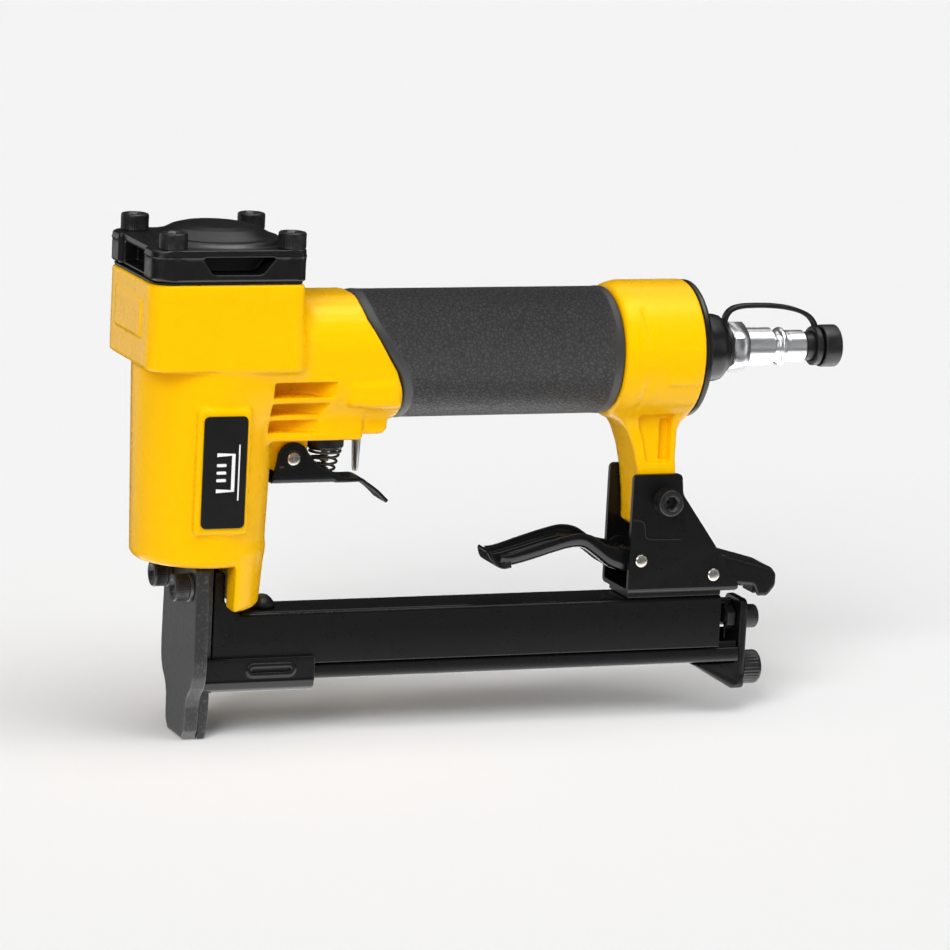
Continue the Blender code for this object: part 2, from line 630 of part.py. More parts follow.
def make_magazine():
    outline = rounded(
        [(MAG_FRONT, MAG_LOW), (MAG_REAR, MAG_LOW), (MAG_REAR, MAG_TOP), (5.8, MAG_TOP), (5.8, 52),
            (MAG_FRONT, 52)],
        (0, 0, 0, 2.0, 1.2, 0),
    )
    body = slab(outline, "side", -MAG_HALF, MAG_HALF)
    inner = MAG_HALF - MAG_WALL
    cut(body, box((MAG_FRONT - 1, -inner, MAG_LOW - 1), (MAG_REAR + 1, inner, MAG_TOP - MAG_WALL)))
    cut(body, box((MAG_FRONT - 1, -inner, MAG_TOP), (12, inner, 60)))
    keep(body, "magazine_body", BLACK_STEEL)
    guide = box((-0.6, -9.6, 14.1), (35.5, 9.6, 24.9))
    guide = bevelled(guide, 1.0, 2)
    cut(guide, box((-5, -8.3, 15.4), (40, 8.3, 30)), box((-5, -8.3, 10), (2.5, 8.3, 16)))
    keep(guide, "front_guide", BLACK_STEEL)
    lip = RAIL_HALF - 1.1
    half = [(4.2, 34.4), (4.2, 20.8), (lip, 20.8), (lip, RAIL_LOW), (RAIL_HALF, RAIL_LOW)]
    half += [(RAIL_HALF, RAIL_FLANGE_TOP), (CORE_HALF, RAIL_FLANGE_TOP), (CORE_HALF, CORE_TOP)]
    rail = slab([(-y, z) for y, z in half] + half[::-1], "front", 3.4, END_FRONT - GAP)
    cut(rail, box((0, -1.3, 33), (160, 1.3, 40)))
    # The left wall stops short, which leaves room for a spanner on the end nut.
    cut(rail, box((MAG_REAR + 0.8, -9, 23.5), (END_FRONT + 1, 0, 40)))
    keep(rail, "magazine_rail", BLACK_STEEL)
    plug = cylinder((21.8, 0, MAG_TOP + 0.2), (21.8, 0, 43.0), 2.6, sides=16)
    keep(bevelled(plug, 0.8, 2), "magazine_plug", SOFT_BLACK)
    make_pusher()
    make_rail_end()


def make_pusher():
    front, rear = 5.6, 22.0
    outer = box((front, -6.5, 24.0), (rear, 6.5, 37.2))
    pusher = baked(cut(outer, box((front - 1, -5.6, 20), (rear + 1, 5.6, 35.9))))
    join(pusher, box((front + 2, -0.9, 31.0), (rear - 2, 0.9, 36.5)))
    join(pusher, box((front + 2, -3.6, 24.4), (rear - 2, 3.6, 31.6)))
    cut(pusher, cylinder((0, 0, ROD_Z), (30, 0, ROD_Z), 1.9))
    keep(pusher, "pusher", BRIGHT_STEEL)
    keep(cylinder((4.5, 0, ROD_Z), (176.0, 0, ROD_Z), 1.4, sides=12), "pusher_rod", BRIGHT_STEEL)
    points = helix((rear + 0.9, 0, ROD_Z), (1, 0, 0), 151, 10, 2.6, 2.6, 7)
    coil("pusher_spring", BRIGHT_STEEL, 0.45, points)


def make_rail_end():
    """The bent bracket that closes the rail, with its bolt, nut and rubber stop."""
    plate = rounded([(-6.4, END_LOW), (6.4, END_LOW), (6.4, END_TOP), (-6.4, END_TOP)],
        (1.5, 1.5, 2.5, 2.5))
    bracket = slab(plate, "front", END_FRONT, END_REAR)
    foot = slab([(END_FRONT - 1.8, END_LOW), (END_REAR, END_LOW), (END_REAR, 12), (END_FRONT, 12),
        (END_FRONT, 10.2),
                 (165.0, 16.8), (163.6, 16.6)], "side", -6.4, 6.4)
    gussets = []
    for side in (-1, 1):
        low, high = sorted((side * 6.2, side * 5.0))
        gussets.append(slab([(165.2, 16.2), (178.5, 8.9), (END_FRONT + 0.5, 9.4), (END_FRONT + 0.5, 16.3)],
                            "side", low, high))
    join(bracket, foot, *gussets)
    cut(bracket, cylinder((170, 0, 30.2), (190, 0, 30.2), 2.2))
    cut(bracket, cylinder((170, 0, 13.6), (190, 0, 13.6), 1.7))
    keep(bracket, "end_bracket", BLACK_STEEL)
    bolt = turned([(-5.6, 0), (-5.6, 2.0), (0.2, 2.0), (0.2, 3.8), (4.8, 3.8), (5.4, 3.2), (5.4, 0)],
                  (END_REAR, 0, 30.2), (1, 0, 0), COARSE)
    keep(bolt, "end_bolt", SCREW_STEEL)
    nut = slab([(y, 30.2 + z) for y, z in hex_points(4.0, 30)], "front", 176.4, END_FRONT - GAP)
    keep(cut(nut, cylinder((170, 0, 30.2), (190, 0, 30.2), 2.2)), "end_nut", SCREW_STEEL)
    stop = turned([(-2.4, 0), (-2.4, 1.5), (0.3, 1.5), (0.3, 5.0), (0.8, 5.4), (6.0, 5.4), (6.8, 4.6),
        (6.8, 0)],
                  (END_REAR, 0, 13.6), (1, 0, 0), 32)
    keep(stop, "rear_bumper", SOFT_BLACK)


# ---------------------------------------------------------------- rear bracket and latch


def make_bracket():
    outline = rounded([(138.2, 41.0), (176.0, 41.0), (176.0, 43.4), (167.3, 56.0), (155.2, 72.7),
        (154.6, 79.2), (138.2, 79.2)],
                      (0, 1.0, 1.5, 4, 4, 1.2, 1.2))
    walls = slab(outline, "side", -BRACKET_HALF, BRACKET_HALF)
    inner = BRACKET_HALF - BRACKET_SHEET
    cut(walls, box((130, -inner, 41.0 + 1.4), (190, inner, 90)))
    for x, z in (LEVER_PIN, HOOK_PIN):
        cut(walls, cylinder((x, -20, z), (x, 20, z), PIN_R + 0.1))
    x, z = BRACKET_SCREW
    cut(walls, cylinder((x, -20, z), (x, 20, z), M5_SHANK + 0.15, sides=12))
    spacer = box((139.5, -7.5, MAG_TOP + 0.2), (174.0, 7.5, 41.5))
    keep(join(walls, spacer), "rear_bracket", BLACK_STEEL)
    socket_screw("bracket_screw", (x, -BRACKET_HALF - 0.15, z), (0, -1, 0), 2 * BRACKET_HALF + 3.0)
    nut = slab([(x + a, z + b) for a, b in hex_points(4.6)],
        "side", BRACKET_HALF + 0.15, BRACKET_HALF + 3.4)
    keep(cut(nut, cylinder((x, 5, z), (x, 20, z), M5_SHANK + 0.12)), "bracket_nut", SCREW_STEEL)
    for name, (x, z) in (("lever_pin", LEVER_PIN), ("hook_pin", HOOK_PIN)):
        pin = cylinder((x, -BRACKET_HALF - 0.7, z), (x, BRACKET_HALF + 0.7, z), PIN_R)
        keep(bevelled(pin, 0.3, 1, 60), name, BRIGHT_STEEL)


def make_lever():
    """The pressed finger lever: a channel that curves up over the magazine and pivots in the bracket."""
    half = 7.3
    low = [(97.9, 50.2), (106, 52.4), (114.6, 54.6), (119.6, 55.7), (124.2, 55.3), (128.5, 52.4),
        (134.0, 48.4), (138.4, 46.6)]
    high = [(138.0, 54.6), (135.0, 55.0), (131.4, 56.2), (126.6, 59.2), (121.4, 60.4), (115.6, 59.4),
        (106.8, 57.0), (98.2, 54.6)]
    x, z = LEVER_PIN
    hub = [(x + 4.6 * math.cos(a),
        z + 4.6 * math.sin(a)) for a in (math.radians(d) for d in (-110, -70, -30))]
    arm = [(153.2, 47.8), (154.0, 50.4), (147.6, 54.2)]
    top = [(x + 4.6 * math.cos(a), z + 4.6 * math.sin(a)) for a in (math.radians(d) for d in (60, 95, 125))]
    walls = slab(low + hub + arm + top + high, "side", -half, half)
    sheet = 1.2
    floor = [(px, pz + sheet) for px, pz in low[:-1]] + [(137.0, 49.0)]
    roof = [(170, 46), (170, 70), (90, 70), (90, 50.2 + sheet)]
    cut(walls, slab(floor + roof, "side", -half + sheet, half - sheet))
    lip = slab([(97.0, 50.2), (98.6, 50.6), (98.8, 51.8), (96.2, 52.6), (93.6, 55.2), (92.2, 55.0),
        (94.0, 51.6)],
               "side", -half - 0.6, half + 0.6)
    join(walls, lip)
    cut(walls, cylinder((x, -12, z), (x, 12, z), PIN_R + 0.1))
    keep(walls, "latch_lever", BLACK_STEEL)


def make_hook():
    """The tail that holds the rail shut: an inverted channel over the end bracket."""
    half = 8.2
    x, z = HOOK_PIN
    outline = [(156.6, 44.2), (160.0, 43.8), (179.0, 42.4), (182.6, 42.0), (184.4, 38.6), (187.4, 38.3),
        (189.6, 40.4),
               (190.4, 43.6), (189.6, 47.2), (172.6, 52.0), (166.0, 52.4), (160.8, 49.2), (156.2, 46.2)]
    walls = slab(outline, "side", -half, half)
    sheet = 1.2
    cut(walls, slab([(150, 30), (150, 46.4), (160.2, 47.2), (166.0, 51.0), (172.4, 50.8), (188.6, 46.2),
        (188.6, 30)],
                    "side", -half + sheet, half - sheet))
    tooth = box((184.2, -4, 38.4), (185.6, 4, 48.2))
    join(walls, tooth)
    cut(walls, cylinder((x, -12, z), (x, 12, z), PIN_R + 0.1))
    keep(walls, "latch_hook", BLACK_STEEL)
    points = helix((171.6, 0, 43.0), (0.12, 0, 1), 6.6, 4, 2.4, 2.4)
    coil("latch_spring", BRIGHT_STEEL, 0.4, points)


# Where each moving piece turns or slides from. Its own origin is put there.
PIVOTS = {
    "trigger": (TRIGGER_X, 0, TRIGGER_Z),
    "latch_lever": (LEVER_PIN[0], 0, LEVER_PIN[1]),
    "latch_hook": (HOOK_PIN[0], 0, HOOK_PIN[1]),
    "valve_stem": (VALVE_X, 0, BLOCK_BOTTOM),
    "piston": (BARREL_X, 0, PISTON_LOW),
    "piston_ring": (BARREL_X, 0, PISTON_LOW),
    "driver_blade": (BLADE_X, 0, BLADE_TIP),
    "head_valve": (BARREL_X, 0, PISTON_HIGH),
    "dust_cap": (204.0, 0, HANDLE_Z),
    "magazine_rail": (MAG_FRONT, 0, ROD_Z),
    "pusher_rod": (MAG_FRONT, 0, ROD_Z),
    "pusher": (MAG_FRONT, 0, ROD_Z),
    "end_bracket": (END_FRONT, 0, ROD_Z),
}


def put_origins():
    for name, place in PIVOTS.items():
        obj = bpy.data.objects[name]
        pivot = Vector(place) * MM
        obj.data.transform(Matrix.Translation(-pivot))
        obj.location = pivot


make_housing()
make_name_plate()
make_cap()
make_engine()
make_grip()
make_inlet()
make_trigger()
make_nose()
make_magazine()
make_bracket()
make_lever()
make_hook()
put_origins()
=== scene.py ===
"""Looks for the staple gun: the casting, mouldings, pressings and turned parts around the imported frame.

Lengths in this file are millimetres, in the part's own frame (+Z up, +X to the air plug, origin at
the staple exit); MM turns them into Blender's metres.
"""

import json
import math

import bmesh
import bpy
import numpy as np
import openvdb as vdb
from mathutils import Matrix, Vector


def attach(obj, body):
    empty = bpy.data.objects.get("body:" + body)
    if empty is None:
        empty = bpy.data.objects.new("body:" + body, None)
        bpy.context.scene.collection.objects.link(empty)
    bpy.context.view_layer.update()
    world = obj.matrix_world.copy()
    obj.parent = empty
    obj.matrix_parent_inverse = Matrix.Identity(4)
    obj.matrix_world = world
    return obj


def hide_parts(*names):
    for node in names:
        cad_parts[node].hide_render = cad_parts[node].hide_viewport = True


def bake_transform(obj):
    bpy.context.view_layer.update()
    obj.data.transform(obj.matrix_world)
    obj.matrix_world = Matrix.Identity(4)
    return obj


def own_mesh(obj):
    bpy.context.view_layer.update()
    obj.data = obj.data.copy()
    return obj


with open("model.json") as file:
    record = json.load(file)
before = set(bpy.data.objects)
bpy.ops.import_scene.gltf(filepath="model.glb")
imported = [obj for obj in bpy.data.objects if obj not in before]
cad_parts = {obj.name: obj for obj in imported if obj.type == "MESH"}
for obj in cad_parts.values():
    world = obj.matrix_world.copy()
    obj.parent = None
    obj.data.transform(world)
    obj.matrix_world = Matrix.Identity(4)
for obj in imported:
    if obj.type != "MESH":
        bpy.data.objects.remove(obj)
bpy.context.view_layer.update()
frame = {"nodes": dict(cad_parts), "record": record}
MM = 0.001

# Places that several pieces share: axes across the tool as (x, z), upright ones as (x, y).
TRIGGER_AXIS = (27.0, 86.0)
LEVER_AXIS = (142.1, 51.8)
HOOK_AXIS = (167.2, 46.6)
BRACKET_SCREW = (149.2, 70.9)
CAP_SCREWS = [(x, y) for x in (-18.6, 18.6) for y in (-19.0, 19.0)]
VALVE_X = 38.8


# ---------------------------------------------------------------- solids as distance fields


def polygon_distance(u, v, outline):
    """Signed distance from each (u, v) to a closed outline, negative inside."""
    distance = np.full(np.broadcast(u, v).shape, 1e6, np.float32)
    inside = np.zeros(distance.shape, bool)
    for (ax, ay), (bx, by) in zip(outline, outline[1:] + outline[:1]):
        ex, ey = bx - ax, by - ay
        wx, wy = u - ax, v - ay
        share = np.clip((wx * ex + wy * ey) / max(ex * ex + ey * ey, 1e-9), 0, 1)
        distance = np.minimum(distance, (wx - ex * share) ** 2 + (wy - ey * share) ** 2)
        crosses = (ay > v) != (by > v)
        with np.errstate(divide="ignore", invalid="ignore"):
            inside ^= crosses & (u < ex * (v - ay) / (ey if ey else 1e-9) + ax)
    return np.where(inside, -np.sqrt(distance), np.sqrt(distance)).astype(np.float32)


def mirrored(inner, outer):
    """The same span across the tool, on its left and on its right."""
    return [(-outer, -inner), (inner, outer)]


def meet(a, b, edge):
    """Where two fields are both inside, with the edge between them rounded."""
    a, b = a + edge, b + edge
    out = np.sqrt(np.maximum(a, 0) ** 2 + np.maximum(b, 0) ** 2)
    return out + np.minimum(np.maximum(a, b), 0) - edge


def blend_in(a, b, fillet):
    """Either field, with a fillet where they meet."""
    if fillet <= 0:
        return np.minimum(a, b)
    share = np.clip(0.5 + 0.5 * (b - a) / fillet, 0, 1)
    return b + (a - b) * share - fillet * share * (1 - share)


def carve(a, b, fillet=0.0):
    """a without b."""
    return -blend_in(-a, b, fillet)


class Space:
    """A box of space sampled on a grid, in which solids are fields of signed distance."""

    def __init__(self, low, high, step):
        self.step = step
        self.low = np.array(low, float) - 2 * step
        count = np.ceil((np.array(high, float) + 2 * step - self.low) / step).astype(int) + 1
        self.x, self.y, self.z = (
            (self.low[i] + step * np.arange(count[i]))
            .astype(np.float32)
            .reshape([-1 if j == i else 1 for j in range(3)])
            for i in range(3)
        )

    def box(self, low, high, edge=0.5):
        gaps = []
        for axis, lo, hi in zip((self.x, self.y, self.z), low, high):
            gaps.append(np.abs(axis - (lo + hi) / 2) - (hi - lo) / 2 + edge)
        out = np.sqrt(sum(np.maximum(g, 0) ** 2 for g in gaps))
        deep = np.maximum(np.maximum(gaps[0], gaps[1]), gaps[2])
        return out + np.minimum(deep, 0) - edge

    def prism(self, outline, plane, low, high, edge=0.5):
        """An outline with thickness: "side" is seen along Y, "plan" along Z and "front" along X."""
        u, v, w = {"side": (self.x, self.z, self.y), "plan": (self.x, self.y, self.z),
            "front": (self.y, self.z, self.x)}[plane]
        flat = polygon_distance(u, v, outline)
        return meet(flat, np.abs(w - (low + high) / 2) - (high - low) / 2, edge)

    def bar(self, axis, centre, radius, low, high, edge=0.5):
        """A round bar along an axis; radius is a number or a function of the place along it."""
        along = {"x": self.x, "y": self.y, "z": self.z}[axis]
        across = [a for name, a in (("x", self.x), ("y", self.y), ("z", self.z)) if name != axis]
        reach = np.sqrt((across[0] - centre[0]) ** 2 + (across[1] - centre[1]) ** 2)
        size = radius(along) if callable(radius) else radius
        return meet(reach - size, np.abs(along - (low + high) / 2) - (high - low) / 2, edge)

    def mesh(self, name, field, adaptivity=0.0, even=False):
        grid = vdb.FloatGrid(2.0)
        grid.copyFromArray(np.clip(field, -2.0, 2.0).astype(np.float32), tolerance=0.0)
        points, triangles, quads = grid.convertToPolygons(0.0, adaptivity)
        points = (points * self.step + self.low) * MM
        faces = [tuple(f) for f in triangles.tolist()] + [tuple(f) for f in quads.tolist()]
        mesh = bpy.data.meshes.new(name)
        mesh.from_pydata(points.tolist(), [], faces)
        piece = show(name, mesh)
        if even:
            mesh.normals_split_custom_set_from_vertices(self.slopes(mesh, field).tolist())
        return piece

    def slopes(self, mesh, field):
        """The field's direction at each vertex, which shades more evenly than the faces do."""
        places = np.empty(len(mesh.vertices) * 3, np.float32)
        mesh.vertices.foreach_get("co", places)
        place = (places.reshape(-1, 3) / MM - self.low) / self.step
        cell = np.clip(np.floor(place).astype(int), 1, np.array(field.shape) - 3)
        share = place - cell
        normals = np.zeros(place.shape)
        for corner in np.ndindex(2, 2, 2):
            weight = np.prod(np.where(corner, share, 1 - share), axis=1)
            at = cell + corner
            for axis in range(3):
                ahead, behind = at.copy(), at.copy()
                ahead[:, axis] += 1
                behind[:, axis] -= 1
                normals[:, axis] += weight * (field[tuple(ahead.T)] - field[tuple(behind.T)])
        return normals / np.maximum(np.linalg.norm(normals, axis=1, keepdims=True), 1e-9)


# ---------------------------------------------------------------- solids as meshes


def show(name, mesh, sharp=None):
    """The mesh as a shown piece with its faces pointing out, smooth up to the sharp angle."""
    built = bmesh.new()
    built.from_mesh(mesh)
    bmesh.ops.remove_doubles(built, verts=built.verts, dist=0.0005 * MM)
    built.normal_update()
    if built.calc_volume(signed=True) < 0:
        bmesh.ops.reverse_faces(built, faces=built.faces)
    built.to_mesh(mesh)
    built.free()
    mesh.shade_smooth()
    if sharp:
        mesh.set_sharp_from_angle(angle=math.radians(sharp))
    piece = bpy.data.objects.new(name, mesh)
    bpy.context.scene.collection.objects.link(piece)
    return piece


def arc(centre, radius, start, end, steps=8):
    """Points along an arc, in degrees."""
    return [
        (centre[0] + radius * math.cos(math.radians(start + (end - start) * i / steps)),
         centre[1] + radius * math.sin(math.radians(start + (end - start) * i / steps)))
        for i in range(steps + 1)
    ]


def corner_arc(before, corner, after, radius, steps):
    corner = Vector(corner)
    one, two = (Vector(before) - corner).normalized(), (Vector(after) - corner).normalized()
    half = one.angle(two) / 2
    reach = radius / math.tan(half)
    centre = corner + (one + two).normalized() * radius / math.sin(half)
    start, end = corner + one * reach - centre, corner + two * reach - centre
    sweep = start.angle_signed(end)
    return [tuple(centre + Matrix.Rotation(-sweep * i / steps, 2) @ start) for i in range(steps + 1)]


def rounded(points, radii, steps=8):
    """An outline with its corners rounded: one radius for all of them, or one for each."""
    if not isinstance(radii, (list, tuple)):
        radii = [radii] * len(points)
    made = []
    for i, (corner, radius) in enumerate(zip(points, radii)):
        if radius:
            made += corner_arc(points[i - 1], corner, points[(i + 1) % len(points)], radius, steps)
        else:
            made.append(tuple(corner))
    return made


def turned(name, profile, centre, along=(1, 0, 0), sides=96, flutes=None, sharp=30):
    """A profile of (place along, radius) turned about a line; flutes are (count, depth, from, to)."""
    turn = Vector(along).to_track_quat("Z", "Y").to_matrix()
    verts, faces = [], []
    for place, radius in profile:
        for j in range(sides):
            angle = 2 * math.pi * j / sides
            size = radius
            if flutes and flutes[2] <= place <= flutes[3]:
                size -= flutes[1] * (0.5 - 0.5 * math.cos(flutes[0] * angle))
            point = Vector((size * math.cos(angle), size * math.sin(angle), place))
            verts.append((Vector(centre) + turn @ point) * MM)
    count = len(profile)
    for i in range(count):
        for j in range(sides):
            a, b = i * sides + j, i * sides + (j + 1) % sides
            c, d = (i + 1) % count * sides + (j + 1) % sides, (i + 1) % count * sides + j
            faces.append((a, b, c, d))
    mesh = bpy.data.meshes.new(name)
    mesh.from_pydata(verts, [], faces)
    mesh.validate()
    return show(name, mesh, sharp)


def slab(name, outline, plane, low, high, sharp=30):
    """A flat outline with thickness."""
    order = {"side": (0, 2, 1), "plan": (0, 1, 2), "front": (1, 2, 0)}[plane]
    verts = []
    for w in (low, high):
        for u, v in outline:
            point = [0.0, 0.0, 0.0]
            point[order[0]], point[order[1]], point[order[2]] = u * MM, v * MM, w * MM
            verts.append(point)
    n = len(outline)
    faces = [tuple(range(n))[::-1], tuple(range(n, 2 * n))]
    faces += [(i, (i + 1) % n, n + (i + 1) % n, n + i) for i in range(n)]
    mesh = bpy.data.meshes.new(name)
    mesh.from_pydata(verts, [], faces)
    return show(name, mesh, sharp)


def fix(piece):
    """Applies a piece's modifiers."""
    graph = bpy.context.evaluated_depsgraph_get()
    graph.update()
    mesh = bpy.data.meshes.new_from_object(piece.evaluated_get(graph))
    piece.modifiers.clear()
    piece.data = mesh
    return piece


def boolean(piece, operation, *others):
    for other in others:
        step = piece.modifiers.new("cut", "BOOLEAN")
        step.operation = operation
        step.object = other
        step.solver = "EXACT"
    fix(piece)
    for other in others:
        bpy.data.objects.remove(other, do_unlink=True)
    return piece


def cut(piece, *others):
    return boolean(piece, "DIFFERENCE", *others)


def join(piece, *others):
    return boolean(piece, "UNION", *others)


def soften(piece, width, segments=3, angle=32, clamp=False):
    """Rounds a piece's hard edges and keeps its flats flat."""
    piece.data.shade_smooth()
    bevel = piece.modifiers.new("edges", "BEVEL")
    bevel.width = width * MM
    bevel.segments = segments
    bevel.limit_method = "ANGLE"
    bevel.angle_limit = math.radians(angle)
    bevel.use_clamp_overlap = clamp
    bevel.harden_normals = True
    return fix(piece)


def thick_line(route, thick):
    """The outline of a strip of this thickness along a line of points."""
    left, right = [], []
    for i, here in enumerate(route):
        ahead, back = route[min(i + 1, len(route) - 1)], route[max(i - 1, 0)]
        along = (Vector(ahead) - Vector(back)).normalized()
        side = Vector((-along.y, along.x)) * thick / 2
        left.append(tuple(Vector(here) + side))
        right.append(tuple(Vector(here) - side))
    return left + right[::-1]


def smooth_line(points, per_span=6):
    """A Catmull-Rom curve through the points."""
    pts = [Vector(p) for p in points]
    pts = [2 * pts[0] - pts[1]] + pts + [2 * pts[-1] - pts[-2]]
    line = []
    for i in range(1, len(pts) - 2):
        for k in range(per_span):
            t = k / per_span
            a, b, c, d = pts[i - 1:i + 3]
            square = (2 * a - 5 * b + 4 * c - d) * t * t
            cube = (3 * b - a - 3 * c + d) * t ** 3
            line.append(tuple(0.5 * (2 * b + (c - a) * t + square + cube)))
    return line + [tuple(pts[-2])]


# ---------------------------------------------------------------- materials


class Shading:
    """A material built from a few nodes around one Principled shader."""

    def __init__(self, name):
        self.material = bpy.data.materials.new(name)
        self.material.use_nodes = True
        self.nodes = self.material.node_tree.nodes
        self.links = self.material.node_tree.links
        self.shader = self.nodes["Principled BSDF"]
        self.place = self.nodes.new("ShaderNodeTexCoord").outputs["Object"]

    def set(self, **values):
        for name, value in values.items():
            self.shader.inputs[name.replace("_", " ")].default_value = value
        return self

    def noise(self, per_mm, detail=4.0, rough=0.55, stretch=None, distortion=0.0):
        node = self.nodes.new("ShaderNodeTexNoise")
        node.inputs["Scale"].default_value = per_mm / MM
        node.inputs["Detail"].default_value = detail
        node.inputs["Roughness"].default_value = rough
        node.inputs["Distortion"].default_value = distortion
        self.links.new(self.placed(stretch), node.inputs["Vector"])
        return node.outputs["Fac"]

    def cells(self, per_mm, feature="F1", stretch=None, warp=None):
        node = self.nodes.new("ShaderNodeTexVoronoi")
        node.feature = feature
        node.inputs["Scale"].default_value = per_mm / MM
        self.links.new(warp or self.placed(stretch), node.inputs["Vector"])
        return node.outputs["Distance"]

    def placed(self, stretch):
        if not stretch:
            return self.place
        node = self.nodes.new("ShaderNodeMapping")
        node.inputs["Scale"].default_value = stretch
        self.links.new(self.place, node.inputs["Vector"])
        return node.outputs["Vector"]

    def warped(self, per_mm, amount):
        """The place, pushed about by noise."""
        noise = self.nodes.new("ShaderNodeTexNoise")
        noise.inputs["Scale"].default_value = per_mm / MM
        self.links.new(self.place, noise.inputs["Vector"])
        scale = self.nodes.new("ShaderNodeVectorMath")
        scale.operation = "MULTIPLY_ADD"
        self.links.new(noise.outputs["Color"], scale.inputs[0])
        scale.inputs[1].default_value = (amount * MM,) * 3
        self.links.new(self.place, scale.inputs[2])
        return scale.outputs[0]

    def ramp(self, value, stops):
        """Maps a value to the stops' values or colours."""
        node = self.nodes.new("ShaderNodeValToRGB")
        ramp = node.color_ramp
        while len(ramp.elements) < len(stops):
            ramp.elements.new(0.5)
        for element, (at, colour) in zip(ramp.elements, stops):
            element.position = at
            element.color = (*colour, 1) if isinstance(colour, tuple) else (colour, colour, colour, 1)
        self.links.new(value, node.inputs["Fac"])
        return node.outputs["Color"]

    def mix(self, share, a, b, kind="MIX"):
        node = self.nodes.new("ShaderNodeMix")
        node.data_type = "RGBA"
        node.blend_type = kind
        for socket, value in ((node.inputs["Factor"], share), (node.inputs[6], a), (node.inputs[7], b)):
            if isinstance(value, tuple):
                socket.default_value = (*value, 1)
            elif isinstance(value, (int, float)):
                socket.default_value = value
            else:
                self.links.new(value, socket)
        return node.outputs[2]

    def math(self, kind, a, b=0.0):
        node = self.nodes.new("ShaderNodeMath")
        node.operation = kind
        for socket, value in zip(node.inputs, (a, b)):
            if isinstance(value, (int, float)):
                socket.default_value = value
            else:
                self.links.new(value, socket)
        return node.outputs[0]

    def edges(self, low, high):
        """1 on outer edges, from how the surface points; 0 on flats and in corners. It marks worn edges, and
        on the screws it is also a painted rim highlight.
        """
        geometry = self.nodes.new("ShaderNodeNewGeometry")
        return self.ramp(geometry.outputs["Pointiness"], [(low, 0.0), (high, 1.0)])

    def mask(self, name):
        node = self.nodes.new("ShaderNodeAttribute")
        node.attribute_name = name
        return node.outputs["Fac"]

    def paint(self, colour=None, roughness=None, bump=None, height=0.02, strength=1.0, metallic=None):
        if colour is not None:
            self.links.new(colour, self.shader.inputs["Base Color"])
        if roughness is not None:
            self.links.new(roughness, self.shader.inputs["Roughness"])
        if metallic is not None:
            self.links.new(metallic, self.shader.inputs["Metallic"])
        if bump is not None:
            node = self.nodes.new("ShaderNodeBump")
            node.inputs["Distance"].default_value = height * MM
            node.inputs["Strength"].default_value = strength
            self.links.new(bump, node.inputs["Height"])
            self.links.new(node.outputs["Normal"], self.shader.inputs["Normal"])
        return self.material


def yellow_enamel():
    m = Shading("yellow_enamel")
    m.set(Specular_IOR_Level=0.24, Specular_Tint=(1.0, 0.75, 0.15, 1))
    cloud = m.noise(0.02, 2)
    tone = m.ramp(cloud, [(0.3, (0.91, 0.486, 0.0002)), (0.7, (0.94, 0.502, 0.0003))])
    rough = m.ramp(m.noise(0.25, 5), [(0.35, 0.26), (0.7, 0.31)])
    return m.paint(tone, rough, m.noise(0.5, 1), 0.003)


def moulded_black():
    m = Shading("moulded_black")
    m.set(Specular_IOR_Level=0.4)
    tone = m.ramp(m.noise(0.06, 4), [(0.3, (0.0028, 0.0028, 0.003)), (0.75, (0.0055, 0.0055, 0.0058))])
    colour = m.mix(m.math("MULTIPLY", m.edges(0.52, 0.6), 0.4), tone, (0.02, 0.02, 0.021))
    rough = m.ramp(m.noise(0.5, 5), [(0.3, 0.28), (0.7, 0.40)])
    grain = m.math("ADD", m.noise(5.0, 2), m.math("MULTIPLY", m.noise(1.4, 2), 0.5))
    return m.paint(colour, rough, grain, 0.015)


def e_coat(name="e_coat", tone=(0.0035, 0.0035, 0.0037), low=0.22, high=0.34):
    """Black electro-coat over pressed steel: glossy, slightly uneven, thin on its edges."""
    m = Shading(name)
    m.set(Specular_IOR_Level=0.32)
    dust = m.ramp(m.noise(0.03, 3, 0.5), [(0.3, 0.0), (0.8, 0.6)])
    colour = m.mix(dust, tone, tuple(1.4 * c for c in tone))
    colour = m.mix(m.math("MULTIPLY", m.edges(0.56, 0.70), 0.25), colour, (0.035, 0.035, 0.036))
    rough = m.ramp(m.noise(0.35, 1), [(0.2, 0.6 * low + 0.4 * high), (0.8, 0.4 * low + 0.6 * high)])
    return m.paint(colour, rough, m.noise(0.6, 1), 0.002)


def sawn_edge_coat():
    """The thick nose plate: coated flats and a rougher, blanked edge."""
    m = Shading("plate_coat")
    m.set(Specular_IOR_Level=0.55)
    flat = m.nodes.new("ShaderNodeNewGeometry").outputs["Normal"]
    split = m.nodes.new("ShaderNodeSeparateXYZ")
    m.links.new(flat, split.inputs[0])
    side = m.ramp(m.math("ABSOLUTE", split.outputs["X"]), [(0.35, 1.0), (0.8, 0.0)])
    worn = m.ramp(m.noise(0.9, 5, 0.7, distortion=0.8), [(0.52, 0.0), (0.74, 1.0)])
    grey = m.mix(worn, (0.004, 0.004, 0.0043), (0.075, 0.075, 0.077))
    tone = m.ramp(m.noise(0.1, 4), [(0.3, (0.020, 0.020, 0.021)), (0.7, (0.028, 0.028, 0.029))])
    colour = m.mix(side, tone, grey)
    rough = m.mix(side, m.ramp(m.noise(0.5, 4), [(0.3, 0.36), (0.7, 0.46)]), (0.5, 0.5, 0.5))
    tears = m.noise(1.0, 6, 0.7, stretch=(1.0, 1.0, 0.35))
    bump = m.math("ADD", m.math("MULTIPLY", m.noise(2.5, 2), 0.25), m.math("MULTIPLY", tears, side))
    return m.paint(colour, rough, bump, 0.09)


